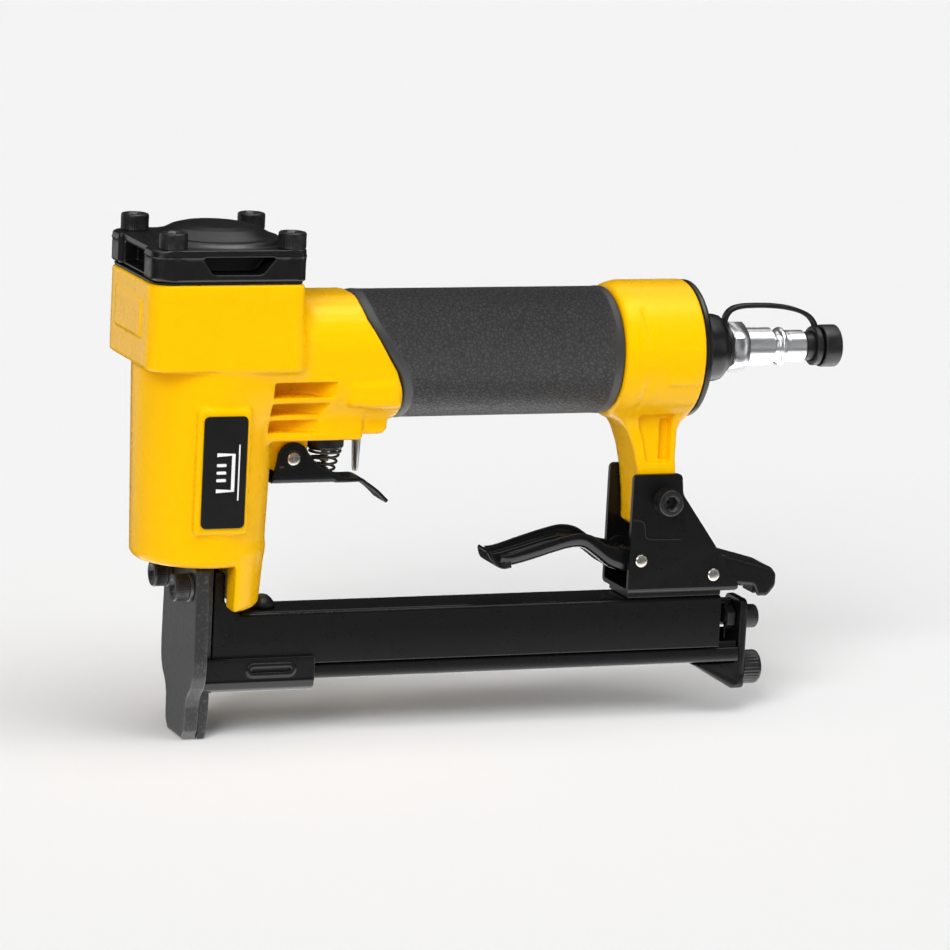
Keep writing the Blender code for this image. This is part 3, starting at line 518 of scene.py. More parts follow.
def grip_rubber():
    """Dark grey rubber with a fine wrinkled leather grain, smooth along its borders; painted shade in the
    grain's creases and a painted highlight on its tops.
    """
    m = Shading("grip_rubber")
    m.set(Specular_IOR_Level=0.4)
    grain = m.mask("grain")
    where = m.warped(0.35, 2.2)
    creases = m.ramp(m.cells(0.75, "DISTANCE_TO_EDGE", warp=where), [(0.0, 0.0), (0.22, 1.0)])
    fine = m.ramp(m.cells(2.4, "DISTANCE_TO_EDGE", warp=m.warped(0.9, 0.9)), [(0.0, 0.0), (0.2, 1.0)])
    folds = m.mix(0.35, creases, fine)
    height = m.math("ADD", m.math("MULTIPLY", folds, grain), m.math("MULTIPLY", m.noise(3.0, 3), 0.25))
    tone = m.ramp(m.noise(0.05, 5), [(0.3, (0.028, 0.028, 0.0295)), (0.75, (0.040, 0.040, 0.042))])
    # The colour follows the folds: painted shade darkens the creases and a painted highlight lightens the
    # fold tops.
    tone = m.mix(m.math("MULTIPLY", grain, 0.85), tone, m.mix(folds, (0.010, 0.010, 0.0104),
        (0.072, 0.072, 0.0745)))
    rough = m.mix(grain, (0.36, 0.36, 0.36), m.mix(folds, (0.6, 0.6, 0.6), (0.36, 0.36, 0.36)))
    return m.paint(tone, rough, height, 1.0)


def soft_rubber():
    m = Shading("soft_rubber")
    m.set(Specular_IOR_Level=0.4)
    tone = m.ramp(m.noise(0.2, 4), [(0.3, (0.004, 0.004, 0.004)), (0.7, (0.0085, 0.0085, 0.0085))])
    rough = m.ramp(m.noise(1.0, 4), [(0.3, 0.32), (0.7, 0.46)])
    return m.paint(tone, rough, m.noise(2.0, 3), 0.03)


def black_oxide():
    m = Shading("black_oxide")
    m.set(Specular_IOR_Level=0.4)
    # The outer edges are lighter: partly worn metal, partly a painted highlight along the rims.
    edge = m.math("MULTIPLY", m.edges(0.53, 0.60), 0.9)
    tone = m.ramp(m.noise(0.5, 5), [(0.3, (0.022, 0.0218, 0.0218)), (0.7, (0.04, 0.0397, 0.04))])
    colour = m.mix(edge, tone, (0.10, 0.097, 0.095))
    rough = m.ramp(m.noise(1.5, 4), [(0.3, 0.30), (0.7, 0.46)])
    return m.paint(colour, rough, m.noise(4.0, 2), 0.02, metallic=m.ramp(m.noise(0.8, 3), [(0.2, 0.6),
        (0.8, 0.8)]))


def bright_metal(name, tone, darker, low=0.16, high=0.26, stretch=None, per_mm=1.2):
    """Plated or ground metal with fine tooling marks."""
    m = Shading(name)
    m.set(Metallic=1.0)
    marks = m.noise(per_mm, 5, 0.65, stretch=stretch)
    colour = m.ramp(marks, [(0.3, darker), (0.7, tone)])
    middle = (low + high) / 2
    rough = m.ramp(m.noise(per_mm * 0.7, 2, stretch=stretch), [(0.3, middle - 0.02), (0.7, middle + 0.02)])
    return m.paint(colour, rough, marks, 0.0015)


def badge_black():
    m = Shading("badge_black")
    m.set(Specular_IOR_Level=0.3)
    tone = m.ramp(m.noise(0.2, 4), [(0.3, (0.0025, 0.0025, 0.0027)), (0.7, (0.0045, 0.0045, 0.0048))])
    rough = m.ramp(m.noise(1.2, 4), [(0.3, 0.34), (0.7, 0.46)])
    return m.paint(tone, rough, m.noise(2.5, 2), 0.015)


def white_print():
    m = Shading("white_print")
    tone = m.ramp(m.noise(1.0, 4), [(0.3, (0.72, 0.72, 0.72)), (0.7, (0.82, 0.82, 0.82))])
    rough = m.ramp(m.noise(2.0, 3), [(0.3, 0.45), (0.7, 0.6)])
    return m.paint(tone, rough, m.noise(4.0, 2), 0.01)


MATERIALS = {
    "yellow_enamel": yellow_enamel(),
    "black_plastic": moulded_black(),
    "black_steel": e_coat(),
    "plate": sawn_edge_coat(),
    "lever": e_coat("lever_coat", (0.0045, 0.0045, 0.0047), 0.15, 0.24),
    "grip_rubber": grip_rubber(),
    "soft_black": soft_rubber(),
    "black_screw": black_oxide(),
    "bright_steel": bright_metal("nickel", (0.62, 0.58, 0.54), (0.45, 0.42, 0.39), 0.2, 0.35),
    "chrome": bright_metal("bright_zinc", (0.90, 0.90, 0.91), (0.76, 0.77, 0.79), 0.26, 0.36, (0.15, 1, 1),
        2.0),
    "brass": bright_metal("brass", (0.62, 0.46, 0.2), (0.45, 0.32, 0.12), 0.2, 0.35),
    "aluminium": bright_metal("aluminium", (0.5, 0.5, 0.51), (0.36, 0.36, 0.37), 0.25, 0.4),
    "urethane": soft_rubber(),
    "badge": badge_black(),
    "white_print": white_print(),
}
SLOT_OF = {part["node"]: part["material_slot"] for part in frame["record"]["subparts"]}
for node, piece in frame["nodes"].items():
    piece.data.materials.clear()
    piece.data.materials.append(MATERIALS[SLOT_OF[node]])

BODY_OF = {node: body for body, nodes in frame["record"]["behaviour"]["bodies"].items() for node in nodes}


def stand_for(piece, node, finish=None, *more):
    """The piece takes the CAD node's place, body and finish."""
    slot = SLOT_OF[node]
    piece.data.materials.clear()
    piece.data.materials.append(MATERIALS[finish or slot])
    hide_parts(node, *more)
    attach(piece, BODY_OF[node])
    return piece


# ---------------------------------------------------------------- the casting

HANDLE_Z = 117.4
HEAD = (-25.6, 22.6, 23.2)  # front, rear and half width of the head
BARREL_X = -1.2


def head_outline(front, rear, half, front_r=6.5, rear_r=2.6):
    return rounded([(front, -half), (rear, -half), (rear, half), (front, half)],
        (front_r, rear_r, rear_r, front_r))


def barrel_size(z):
    return 20.4 + 1.5 * np.clip((z - 55.5) / 56.5, 0, 1)


def casting():
    s = Space((-27, -24, 40.5), (156.5, 24, 143.5), 0.45)
    front, rear, half = HEAD
    head = s.prism(head_outline(front, rear, half), "plan", 116.4, 142.6, 1.1)
    body = blend_in(head, s.bar("z", (BARREL_X, 0), barrel_size, 55.5, 125, 2.6), 1.6)
    # The flat-sided neck runs from the head to the grip's slanted edge.
    section = rounded([(-19.5, 97.9), (19.5, 97.9), (19.5, 136.9), (-19.5, 136.9)], 15.5)
    edge = [(-5, 94), *[(x - 0.3, z) for x, z in grip_edge()], (-5, 141)]
    neck = meet(s.prism(section, "front", 0, 62, 0.1), s.prism(edge, "side", -30, 30, 0.1), 0.5)
    body = blend_in(body, neck, 6.5)
    core = s.bar("x", (0, HANDLE_Z), 17.2, 20, 133, 0.1)
    body = np.minimum(body, core)
    # Rear ring: it swells from the grip's end to its full size, then is cut square for the end cap.
    ring_size = lambda x: 19.8 + 1.9 * np.clip((x - 129.2) / 4.6, 0, 1) ** 0.5
    ring = s.bar("x", (0, HANDLE_Z), ring_size, 129.2, 155.4, 0.7)
    leg = s.prism(leg_outline(), "side", -8.5, 8.5, 1.1)
    body = np.minimum(body, blend_in(ring, leg, 5.0))
    # Block over the trigger, with its lower rear step.
    block = s.prism(rounded([(6, 93.0), (46, 93.0), (46, 112), (6, 113)], (0, 1.2, 0, 0)),
        "side", -14.0, 14.0, 1.2)
    step = s.prism(rounded([(40, 94.4), (54.4, 94.4), (54.4, 104), (40, 108)], (0, 2.6, 0, 0)),
        "side", -12.6, 12.6, 1.4)
    body = blend_in(body, blend_in(block, step, 0.8), 2.2)
    shelf = s.prism(rounded([(12, 106.9), (39.0, 106.9), (39.0, 112), (12, 114)], (0, 1.0, 0, 0)),
        "side", -16.2, 16.2, 1.0)
    body = blend_in(body, shelf, 1.6)
    # The flank swells out again behind the slots, up to the grip.
    flank = rounded(
        [(39.2, 104.6), (46.0, 103.6), (56.4, 103.8), (55.6, 109.0), (54.0, 112.6), (39.2, 111.8)],
        [1.5, 1, 1, 1, 1.5, 1.5],
    )
    for low, high in mirrored(10, 20.0):
        body = blend_in(body, s.prism(flank, "side", low, high, 2.2), 1.3)
    tongue = s.prism(rounded([(18.0, 95), (18.0, 84), (22.5, 81.4), (30, 81.4), (32, 84), (32, 95)], 1.2),
        "side", -3.8, 3.8, 0.6)
    body = blend_in(body, tongue, 1.0)
    body = blend_in(body, barrel_leg(s), 1.0)
    body = panels(s, body)
    return stand_for(s.mesh("casting", bores(s, body), 0.004, True), "housing")


def grip_edge():
    return [(57.4, 93), (57.5, 103.9), (56.4, 109.6), (54.5, 114.8), (50.0, 122.2), (45.2, 130.5),
        (44.2, 134.5), (44.0, 142)]


def leg_outline():
    front = [(129.0, 103), (131.6, 100), (134.6, 96), (137.0, 91), (138.9, 86), (140.5, 79), (141.6, 71),
        (142.2, 62.0)]
    foot = [(146, 59.2), (153.4, 59.2)]
    back = [(153.3, 78.8), (152.8, 84), (152.8, 92), (153.4, 98), (154.4, 103)]
    return front + foot + back


def barrel_leg(s):
    """The rear of the barrel's skirt, carried down to the magazine, with its round lower edge."""
    skirt = s.bar("z", (BARREL_X, 0), lambda z: 19.3 + (z - 41.2) * 0.075, 41.2, 62, 2.2)
    skirt = meet(skirt, 5.6 - s.x + 0 * skirt, 0.9)
    return carve(skirt, s.box((-30, -9.6, 30), (9.3, 9.6, 55.4), 0.4), 0.6)


def panels(s, body):
    """Raised pads, slots and pockets."""
    pad = s.box((-9.5, -22.35, 66.4), (7.5, -10, 105.2), 1.4)
    body = blend_in(body, pad, 0.7)
    front = HEAD[0]
    body = blend_in(body, s.box((front - 0.55, -12.6, 125.5), (front + 4, 12.6, 137.2), 0.5), 0.5)
    for low, high in ((107.2, 112.1), (101.4, 105.3), (95.8, 99.6)):
        for side in (-1, 1):
            plan = [(15.2, 30), (15.2, 8.6), (24.0, 9.0), (31.0, 13.0), (36.6, 20.5), (36.6, 30)]
            body = carve(body, s.prism([(x, side * y) for x, y in plan], "plan", low, high, 0.45), 0.5)
    pocket = rounded([(138.6, 98.5), (141.6, 89), (143.0, 82.6), (150.8, 82.6), (150.4, 98.5)], 1.0)
    for wide, (low, high) in zip(mirrored(7.1, 12), mirrored(5.4, 12)):
        body = carve(body, s.prism(pocket, "side", *wide, 0.3), 0.6)
        body = carve(body, s.box((147.4, low, 83.4), (150.5, high, 96.5), 0.5), 0.4)
    # A plain cast pad on the ring's left flank.
    plate = s.box((143.4, -21.75, 109), (153.2, -15, 121), 0.4)
    shell = s.bar("x", (0, HANDLE_Z), 22.2, 143.4, 153.2, 0.3)
    # Two shallow creases where the ring meets the taper.
    reach = np.sqrt(s.y ** 2 + (s.z - HANDLE_Z) ** 2)
    for middle, lean in ((127.0, 0.16), (106.5, -0.05)):
        crease = meet(np.abs(reach - 21.7) - 0.32, np.abs(s.x - 136.4 + lean * (s.z - middle)) - 0.8, 0.4)
        crease = meet(crease, np.abs(s.z - middle) - 5.5 + 0 * crease, 0.5)
        body = carve(body, crease, 0.8)
    return blend_in(body, meet(plate, shell, 0.3), 0.5)


def bores(s, body):
    """The holes the other pieces sit in, cut sharp."""
    body = carve(body, s.bar("z", (0, 0), 17.0, 72.0, 150, 0.1))
    body = carve(body, s.box((-3.2, -6.3, 30), (-1.0, 6.3, 74), 0.1))
    body = carve(body, s.box((-6.5, -13.6, 50), (2.6, 13.6, 60.5), 0.2))
    for axis, centre, radius, low, high in (
        ("x", (0, HANDLE_Z), 16.0, 147.4, 160),
        ("x", (0, HANDLE_Z), 13.0, 60, 150),
        ("x", (0, HANDLE_Z), 8.5, 12, 64),
        ("z", (VALVE_X, 0), 3.0, 85, 106),
        ("y", TRIGGER_AXIS, 2.15, -30, 30),
        ("y", BRACKET_SCREW, 2.6, -30, 30),
    ):
        body = carve(body, s.bar(axis, centre, radius, low, high, 0.1))
    for place in CAP_SCREWS:
        body = carve(body, s.bar("z", place, 2.6, 122, 150, 0.1))
    return body


casting()

# ---------------------------------------------------------------- head cap


def cylinder_cap():
    s = Space((-26, -23.6, 143.2), (23, 23.6, 159), 0.34)
    # The two front corners are rounded over, the other edges are only broken.
    edge = 0.55 + 1.2 * np.clip((-18.5 - s.x) / 4.0, 0, 1)
    flat = polygon_distance(s.x, s.y, head_outline(-25.8, 22.8, 23.4, 5.0))
    cap = meet(flat, np.abs(s.z - 148.35) - 4.75, edge)
    # A fine step runs round under the lid.
    step = meet(-0.28 - flat, 0.22 - np.abs(s.z - 151.1), 0.05)
    cap = carve(cap, step, 0.15)
    reach = np.sqrt((s.x - 0.4) ** 2 + s.y ** 2)
    places = [0, 3.4, 6.8, 10.2, 13, 15, 16.5, 17.6, 18.7, 19.7, 20.5, 21.1]
    heights = [158.6, 158.52, 158.3, 157.8, 157.0, 156.0, 155.1, 154.6, 154.6, 154.35, 153.7, 152.7]
    crown = np.interp(reach, places, heights).astype(np.float32)
    dome = np.maximum(np.maximum((s.z - crown) * 0.75, 150 - s.z), reach - 21.0)
    cap = blend_in(cap, dome, 0.7)
    for place in CAP_SCREWS:
        cap = blend_in(cap, s.bar("z", place, 4.22, 150, 153.15, 0.3), 0.3)
    cap = carve(cap, s.bar("z", (0, 0), 17.0, 140, 144.8, 0.2))
    cap = carve(cap, s.bar("z", (0, 0), 13.8, 140, 150.8, 0.2))
    port = rounded([(-6.9, 145.7), (8.4, 145.7), (12.8, 150.9), (-10.4, 150.9)], [2.4, 2.4, 0.5, 0.5])
    for low, high in mirrored(15.4, 30.0):
        cap = carve(cap, s.prism(port, "side", low, high, 0.1), 0.5)
    # Between the two corner lugs the front wall and the lid stand back, round the main exhaust.
    cap = carve(cap, s.box((-30, -12.4, 140), (-24.2, 12.4, 160), 0.8), 0.8)
    cap = carve(cap, s.box((-30, -10.8, 144.6), (-19.5, 10.8, 150.9), 0.8), 0.4)
    for place in CAP_SCREWS:
        cap = carve(cap, s.bar("z", place, 2.6, 140, 158, 0.1))
    return stand_for(s.mesh("head_cap", cap, 0.006, True), "cylinder_cap")


# ---------------------------------------------------------------- screws, pins and washers


def socket_screw(node, seat, out, length, height, head_r=4.25, shank_r=2.45, flutes=36):
    seat, out = Vector(seat), Vector(out).normalized()
    tip = arc((height - 0.7, head_r - 0.7), 0.7, 90, 0, 6)
    profile = [(-length, 0.02), (-length, shank_r - 0.4), (-length + 0.4, shank_r), (-0.01, shank_r),
        (0, head_r - 0.25),
               (0.25, head_r), (0.4, head_r), (height - 1.0, head_r), *tip, (height, 2.7), (height - 0.35,
                   2.35), (height - 0.35, 0.02)]
    screw = turned(node + "_knurled", profile, seat, out, 144, (flutes, 0.13, 0.3, height - 0.95), 34)
    socket = slab("socket", hexagon(2.32), "plan", height - 2.9, height + 1)
    socket.data.transform(Matrix.Translation(seat * MM) @ out.to_track_quat("Z", "Y").to_matrix().to_4x4())
    return stand_for(cut(screw, socket), node)


def hexagon(radius, turn=0.0, middle=(0, 0)):
    return [
        (middle[0] + radius * math.cos(math.radians(60 * i + turn)),
            middle[1] + radius * math.sin(math.radians(60 * i + turn)))
        for i in range(6)
    ]


def pin(node, start, end, radius, dome=0.35):
    start, end = Vector(start), Vector(end)
    length = (end - start).length
    profile = [(0, 0.02), (0, radius * 0.62), (dome * 0.35, radius * 0.86), (dome, radius),
               (length - dome, radius), (length - dome * 0.35, radius * 0.86), (length,
                   radius * 0.62), (length, 0.02)]
    return stand_for(turned(node + "_headed", profile, start, end - start, 64, None, 24), node)


def fasteners():
    for number, place in enumerate(CAP_SCREWS, 1):
        socket_screw(f"cap_screw_{number}", (*place, 153.15), (0, 0, 1), 27, 4.95)
    for number, y in ((1, -10.4), (2, 10.4)):
        socket_screw(f"nose_screw_{number}", (-7.4, y, 48.3), (-1, 0, 0), 5.6, 4.4)
        washer = turned(f"nose_ring_{number}", [(-0.55, 2.7), (-0.55, 4.2), (-0.35, 4.4), (0.35, 4.4),
            (0.55, 4.2), (0.55, 2.7)],
                        (-6.7, y, 48.3), (1, 0, 0), 64)
        stand_for(washer, f"nose_washer_{number}")
    socket_screw("bracket_screw", (149.2, -10.75, 70.9), (0, -1, 0), 23.5, 4.9)
    pins = (("trigger_pin", TRIGGER_AXIS, 6.1), ("lever_pin", LEVER_AXIS, 11.2),
        ("hook_pin", HOOK_AXIS, 11.2))
    for node, (x, z), reach in pins:
        pin(node, (x, -reach, z), (x, reach, z), 2.0)
    nut = slab("side_nut", hexagon(4.55, 0, BRACKET_SCREW), "side", 10.6, 13.8)
    cut(nut, turned("bore", [(0, 0.02), (0, 2.6), (12, 2.6), (12, 0.02)], (149.2, 6, 70.9), (0, 1, 0), 48))
    stand_for(soften(nut, 0.35), "bracket_nut")


# ---------------------------------------------------------------- grip


def rubber_grip():
    """A tube with a slanted front edge, smooth bands along both borders and a grained middle."""
    sides, rows = 160, 84
    line = grip_edge()
    heights, places = [z for _, z in line], [x for x, _ in line]
    outer, inner, rear = 19.75, 17.55, 129.0
    verts, grain = [], []
    shares = [(1 - math.cos(math.pi * i / rows)) / 2 * 0.35 + i / rows * 0.65 for i in range(rows + 1)]
    for share in shares:
        for j in range(sides):
            angle = 2 * math.pi * j / sides
            up = math.cos(angle)
            front = float(np.interp(HANDLE_Z + 19.7 * up, heights, places)) + 0.3
            x = front + (rear - front) * share
            inset = min(x - front, rear - x)
            size = outer - 0.75 * max(0.0, 1 - inset / 0.8) ** 2
            size += 0.14 * math.exp(-((inset - 2.0) / 1.1) ** 2)
            verts.append((x * MM, size * math.sin(angle) * MM, (HANDLE_Z + size * up) * MM))
            grain.append(min(max((inset - 3.0) / 0.8, 0.0), 1.0))
    for share in (1.0, 0.0):
        for j in range(sides):
            angle = 2 * math.pi * j / sides
            front = float(np.interp(HANDLE_Z + 19.7 * math.cos(angle), heights, places)) + 0.1
            x = front + (rear - front) * share
            verts.append((x * MM, inner * math.sin(angle) * MM, (HANDLE_Z + inner * math.cos(angle)) * MM))
            grain.append(0.0)
    rings = rows + 3
    faces = []
    for i in range(rings):
        for j in range(sides):
            a, b = i * sides + j, i * sides + (j + 1) % sides
            faces.append((a, b, (i + 1) % rings * sides + (j + 1) % sides, (i + 1) % rings * sides + j))
    mesh = bpy.data.meshes.new("rubber_grip")
    mesh.from_pydata(verts, [], faces)
    mesh.attributes.new("grain", "FLOAT", "POINT").data.foreach_set("value", grain)
    return stand_for(show("rubber_grip", mesh, 50), "grip_sleeve")


# ---------------------------------------------------------------- air inlet


def inlet():
    rim = arc((156.9, 20.7), 0.8, 90, 0, 6)
    cap = turned("inlet_cap", [
        (148.2, 9.0), (148.2, 15.4), (155.7, 15.4), (155.7, 21.0), (156.0, 21.4), (156.6,
            21.5), *rim, (157.7, 19.4),
        (157.9, 13.2), (158.2, 12.4), (159.0, 11.6), (160.4, 11.0), (163.5, 10.8), (166.6, 10.6), (168.0,
            10.2), (168.9, 9.4),
        (169.3, 8.2), (169.3, 5.2), (160, 5.2), (160, 9.0)], (0, 0, HANDLE_Z), (1, 0, 0), 128, None, 26)
    stand_for(cap, "end_cap")
    body = turned("plug_nipple", [
        (162, 3.4), (162, 5.0), (171.2, 5.0), (171.2, 6.3), (177.2, 6.3), (177.3, 6.05), (186.0,
            6.05), (186.25, 5.8), (186.7, 5.0),
        (187.2, 4.8), (188.0, 4.8), (188.5, 5.1), *arc((189.7, 5.1),
            1.0, 150, 30, 6), (190.9, 5.1), (191.2, 4.85), (191.9, 4.85),
        (192.1, 5.1), (197.3, 5.1), (197.7, 4.7), (197.7, 3.4)], (0, 0, HANDLE_Z), (1, 0, 0), 96, None, 24)
    nut = slab("nut", hexagon(8.08, 90, (0, HANDLE_Z)), "front", 171.4, 176.9)
    lens = turned("lens", [(171.3, 5.6), (171.3, 7.25), (172.1, 8.3), (176.2, 8.3), (177.0, 7.25),
        (177.0, 5.6)],
                  (0, 0, HANDLE_Z), (1, 0, 0), 96)
    ring = boolean(nut, "INTERSECT", lens)
    stand_for(join(body, ring), "air_plug")
    stopper = turned("stopper", [
        (190, 0.02), (190, 3.0), (197.9, 3.0), (198.0, 4.2), (198.3, 4.5), (200.5, 4.5), (203.3,
            4.4), (203.6, 4.8), (203.6, 6.2),
        *arc((204.3, 6.0), 0.7, 180, 90, 4), *arc((208.6, 5.9),
            0.8, 90, 0, 6), (209.4, 1.6), (209.0, 1.2), (209.0, 0.02)],
        (0, 0, HANDLE_Z), (1, 0, 0), 96, None, 30)
    stand_for(stopper, "dust_cap")
    route = smooth_line([(170.3, 124.4), (170.8, 127.2), (172.6, 129.4), (176.0, 130.4), (180.6, 130.6),
        (185.4, 130.5),
                         (190.6, 130.0), (195.4, 128.9), (199.2, 127.2), (201.4, 124.8), (202.0, 122.8)])
    band = soften(slab("band", thick_line(route, 1.4), "side", -1.3, 1.3, 40), 0.4, 2, 60, True)
    eye = turned("eye", [(169.7, 5.4), (169.7, 7.3), (170.0, 7.6), (170.8, 7.6), (171.1, 7.3), (171.1, 5.4)],
                 (0, 0, HANDLE_Z), (1, 0, 0), 64)
    loop = turned("loop", [(200.9, 4.85), (200.9, 5.9), (201.2, 6.2), (202.6, 6.2), (202.9, 5.9),
        (202.9, 4.85)],
                  (0, 0, HANDLE_Z), (1, 0, 0), 64)
    strap = stand_for_blended(join(eye, band, loop), "cap_strap")
    strap.name = "moulded_strap"


def stand_for_blended(piece, node):
    piece.data.materials.clear()
    piece.data.materials.append(MATERIALS[SLOT_OF[node]])
    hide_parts(node)
    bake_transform(piece)
    return piece


# ---------------------------------------------------------------- springs


def spring(node, wire, route, joint):
    """A coil as a swept round wire; a piece on a joint gets its own mesh."""
    curve = bpy.data.curves.new(node, "CURVE")
    curve.dimensions = "3D"
    curve.bevel_depth = wire * MM
    curve.bevel_resolution = 3
    curve.use_fill_caps = True
    line = curve.splines.new("POLY")
    line.points.add(len(route) - 1)
    for point, place in zip(line.points, route):
        point.co = (*(Vector(place) * MM), 1)
    holder = bpy.data.objects.new("holder", curve)
    bpy.context.scene.collection.objects.link(holder)
    graph = bpy.context.evaluated_depsgraph_get()
    mesh = bpy.data.meshes.new_from_object(holder.evaluated_get(graph))
    bpy.data.objects.remove(holder, do_unlink=True)
    piece = stand_for(show(node + "_coil", mesh), node)
    if joint:
        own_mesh(piece)
    return piece


def coil(centre, along, length, turns, first, last, per_turn=28):
    """A helix whose last turn at each end is closed up flat."""
    turn = Vector(along).to_track_quat("Z", "Y").to_matrix()
    count = int(turns * per_turn)
    points = []
    for i in range(count + 1):
        share = i / count
        rise = share if turns < 4 else min(max((share * turns - 0.6) / (turns - 1.2), 0),
            1) * 0.9 + share * 0.1
        angle = 2 * math.pi * turns * share
        size = first + (last - first) * share
        points.append(Vector(centre) + turn @ Vector((size * math.cos(angle), size * math.sin(angle),
            length * rise)))
    return points


def springs():
    spring("trigger_spring", 0.42, coil((VALVE_X, 0, 80.2), (0, 0, 1), 7.2, 4.6, 2.5, 5.0),
        "trigger_pull")
    spring("head_valve_spring", 0.8, coil((0, 0, 135.6), (0, 0, 1), 14.0, 3, 10.2, 10.2),
        "head_valve_lift")
    spring("pusher_spring", 0.45, coil((22.9, 0, 28), (1, 0, 0), 151, 40, 2.6, 2.6, 14),
        "pusher_slide")
    spring("latch_spring", 0.4, coil((171.6, 0, 43.0), (0.12, 0, 1), 6.6, 4, 2.4, 2.4),
        "hook_lift")


# ---------------------------------------------------------------- trigger


def trigger():
    s = Space((19, -6, 70.5), (59.5, 6, 92), 0.24)
    low = 78.2
    side = [(20.3, low), *arc(TRIGGER_AXIS, 5.1, 178, 20, 12), (35.0, 84.0), (40.8, 81.2), (45.0, low + 0.5),
        (45.0, low)]
    shell = s.prism(side, "side", -5.5, 5.5, 0.05)
    shell = np.maximum(shell, s.prism(rounded([(-5.5, low), (5.5, low), (5.5, 96), (-5.5, 96)],
        [1.5, 1.5, 0, 0]), "front", 15, 70, 0.05))
    hollow = s.prism(rounded([(-4.3, low + 1.15), (4.3, low + 1.15), (4.3, 100), (-4.3, 100)],
        [0.5, 0.5, 0, 0]), "front", 10, 70, 0.05)
    walls = carve(shell, hollow, 0.3)
    line = smooth_line([(41, low + 0.6), (46, low + 0.6), (49.4, low + 0.55), (51.2, low - 0.6),
        (54.6, 75.2), (58.2, 71.8)], 4)
    tail = s.prism(thick_line(line, 1.2), "side", -5.5, 5.5, 0.4)
    body = blend_in(walls, tail, 0.6)
    body = carve(body, s.bar("y", TRIGGER_AXIS, 2.1, -9, 9, 0.05), 0.2)
    body = carve(body, s.bar("y", (23.4, 82.9), 0.55, -9, 9, 0.05), 0.15)
    return stand_for(s.mesh("trigger_pressing", body, 0.006), "trigger")


# ---------------------------------------------------------------- nose


def nose():
    s = Space((-7.5, -17, -0.2), (0, 17, 55), 0.3)
    half = [(7.0, 0), (9.3, 2.9), (9.7, 10.6), (10.8, 13.8), (14.2, 17.2), (15.8, 20.8), (16.2, 26),
        (15.8, 40), (15.4, 54.6)]
    outline = half + [(-y, z) for y, z in half[::-1]]
    plate = s.prism(rounded(outline, [0, 0.8, 3, 4, 4, 6, 12, 0, 0.8, 0.8, 0, 12, 6, 4, 4, 3, 0.8, 0], 5),
        "front", -6.0, -1.5, 0.55)
    plate = carve(plate, s.box((-3.0, -5.8, -5), (2, 5.8, 60), 0.1), 0.1)
    for y in (-10.4, 10.4):
        plate = carve(plate, s.bar("x", (y, 48.3), 2.6, -9, 3, 0.05), 0.2)
    stand_for(s.mesh("nose_casting", plate, 0.01), "nose_front_plate", "plate")
    guide = slab("guide_pressing", [(-1.2, 0), (1.2, 0), (1.9, 3.6), (2.2, 9), (2.2, 54.4), (-1.2, 54.4)],
        "side", -7.9, 7.9)
    stand_for(soften(guide, 0.3), "driver_guide_plate", "plate")


# ---------------------------------------------------------------- magazine


MAGAZINE_END = 171.8


def magazine():
    ear = rounded([(2.6, 22.4), (MAGAZINE_END, 22.4), (MAGAZINE_END, 38.9), (5.9, 38.9), (5.9, 52),
        (2.6, 52)], [0, 0, 0, 5.0, 1.3, 0.6], 6)
    body = slab("magazine_pressing", ear, "side", -8, 8)
    tube = slab("tube", rounded([(-8, 20), (-8, 38.9), (8, 38.9), (8, 20)], [0, 1.7, 1.7, 0], 6),
        "front", 10.9, 200)
    tab = slab("tab", rounded([(-8, 20), (8, 20), (8, 60), (-8, 60)], 0.4), "front", 0, 10.95)
    body = boolean(body, "INTERSECT", join(tab, tube))
    cut(body, slab("hollow", [(-6.8, 15), (6.8, 15), (6.8, 37.7), (-6.8, 37.7)], "front", -5, 200))
    cut(body, slab("gap", [(-6.8, 38.9), (6.8, 38.9), (6.8, 60), (-6.8, 60)], "front", -5, 4.4))
    # The pressing's cut edge is rolled out a little round the front tab.
    edge = [(5.5, 51.0), *arc((10.9, 43.9), 5.4, 180, 270, 8), (24.0, 38.5)]
    lips = [soften(slab("lip", thick_line(edge, 0.6), "side", *span),
        0.2, 2, 60) for span in mirrored(7.4, 8.35)]
    stand_for(join(soften(body, 0.3, 3, 40), *lips), "magazine_body")
    rail = rounded(
        [(-7.2, 17.1), (-5.9, 17.1), (-5.9, 20.7), (-4.2, 20.7), (-4.2, 34.4), (4.2, 34.4), (4.2, 20.7),
            (5.9, 20.7), (5.9, 17.1), (7.2, 17.1),
         (7.2, 21.9), (5.3, 21.9), (5.3, 35.5), (-5.3, 35.5), (-5.3, 21.9), (-7.2, 21.9)],
        [1.1, 0.1, 0, 0, 0, 0, 0, 0, 0.1, 1.1, 1.1, 0.2, 0.8, 0.8, 0.2, 1.1], 5)
    bar = slab("rail_pressing", rail, "front", 3.4, 179.1)
    cut(bar, slab("slot", [(0, -1.3), (160, -1.3), (160, 1.3), (0, 1.3)], "plan", 33, 40))
    cut(bar, slab("notch", [(172.6, -9), (181, -9), (181, 0), (172.6, 0)], "plan", 23.5, 40))
    stand_for(soften(bar, 0.2, 2, 60), "magazine_rail")
    plug = turned("magazine_button", [
        (39.1, 0.02), (39.1, 4.0), (39.5, 4.2), (40.1, 4.1), (41.0, 3.4), (41.9, 2.7), (42.6, 1.8), (42.9,
            0.8), (43.0, 0.02)],
        (20.6, 0, 0), (0, 0, 1), 64, None, 60)
    stand_for(plug, "magazine_plug")
    front_guide()


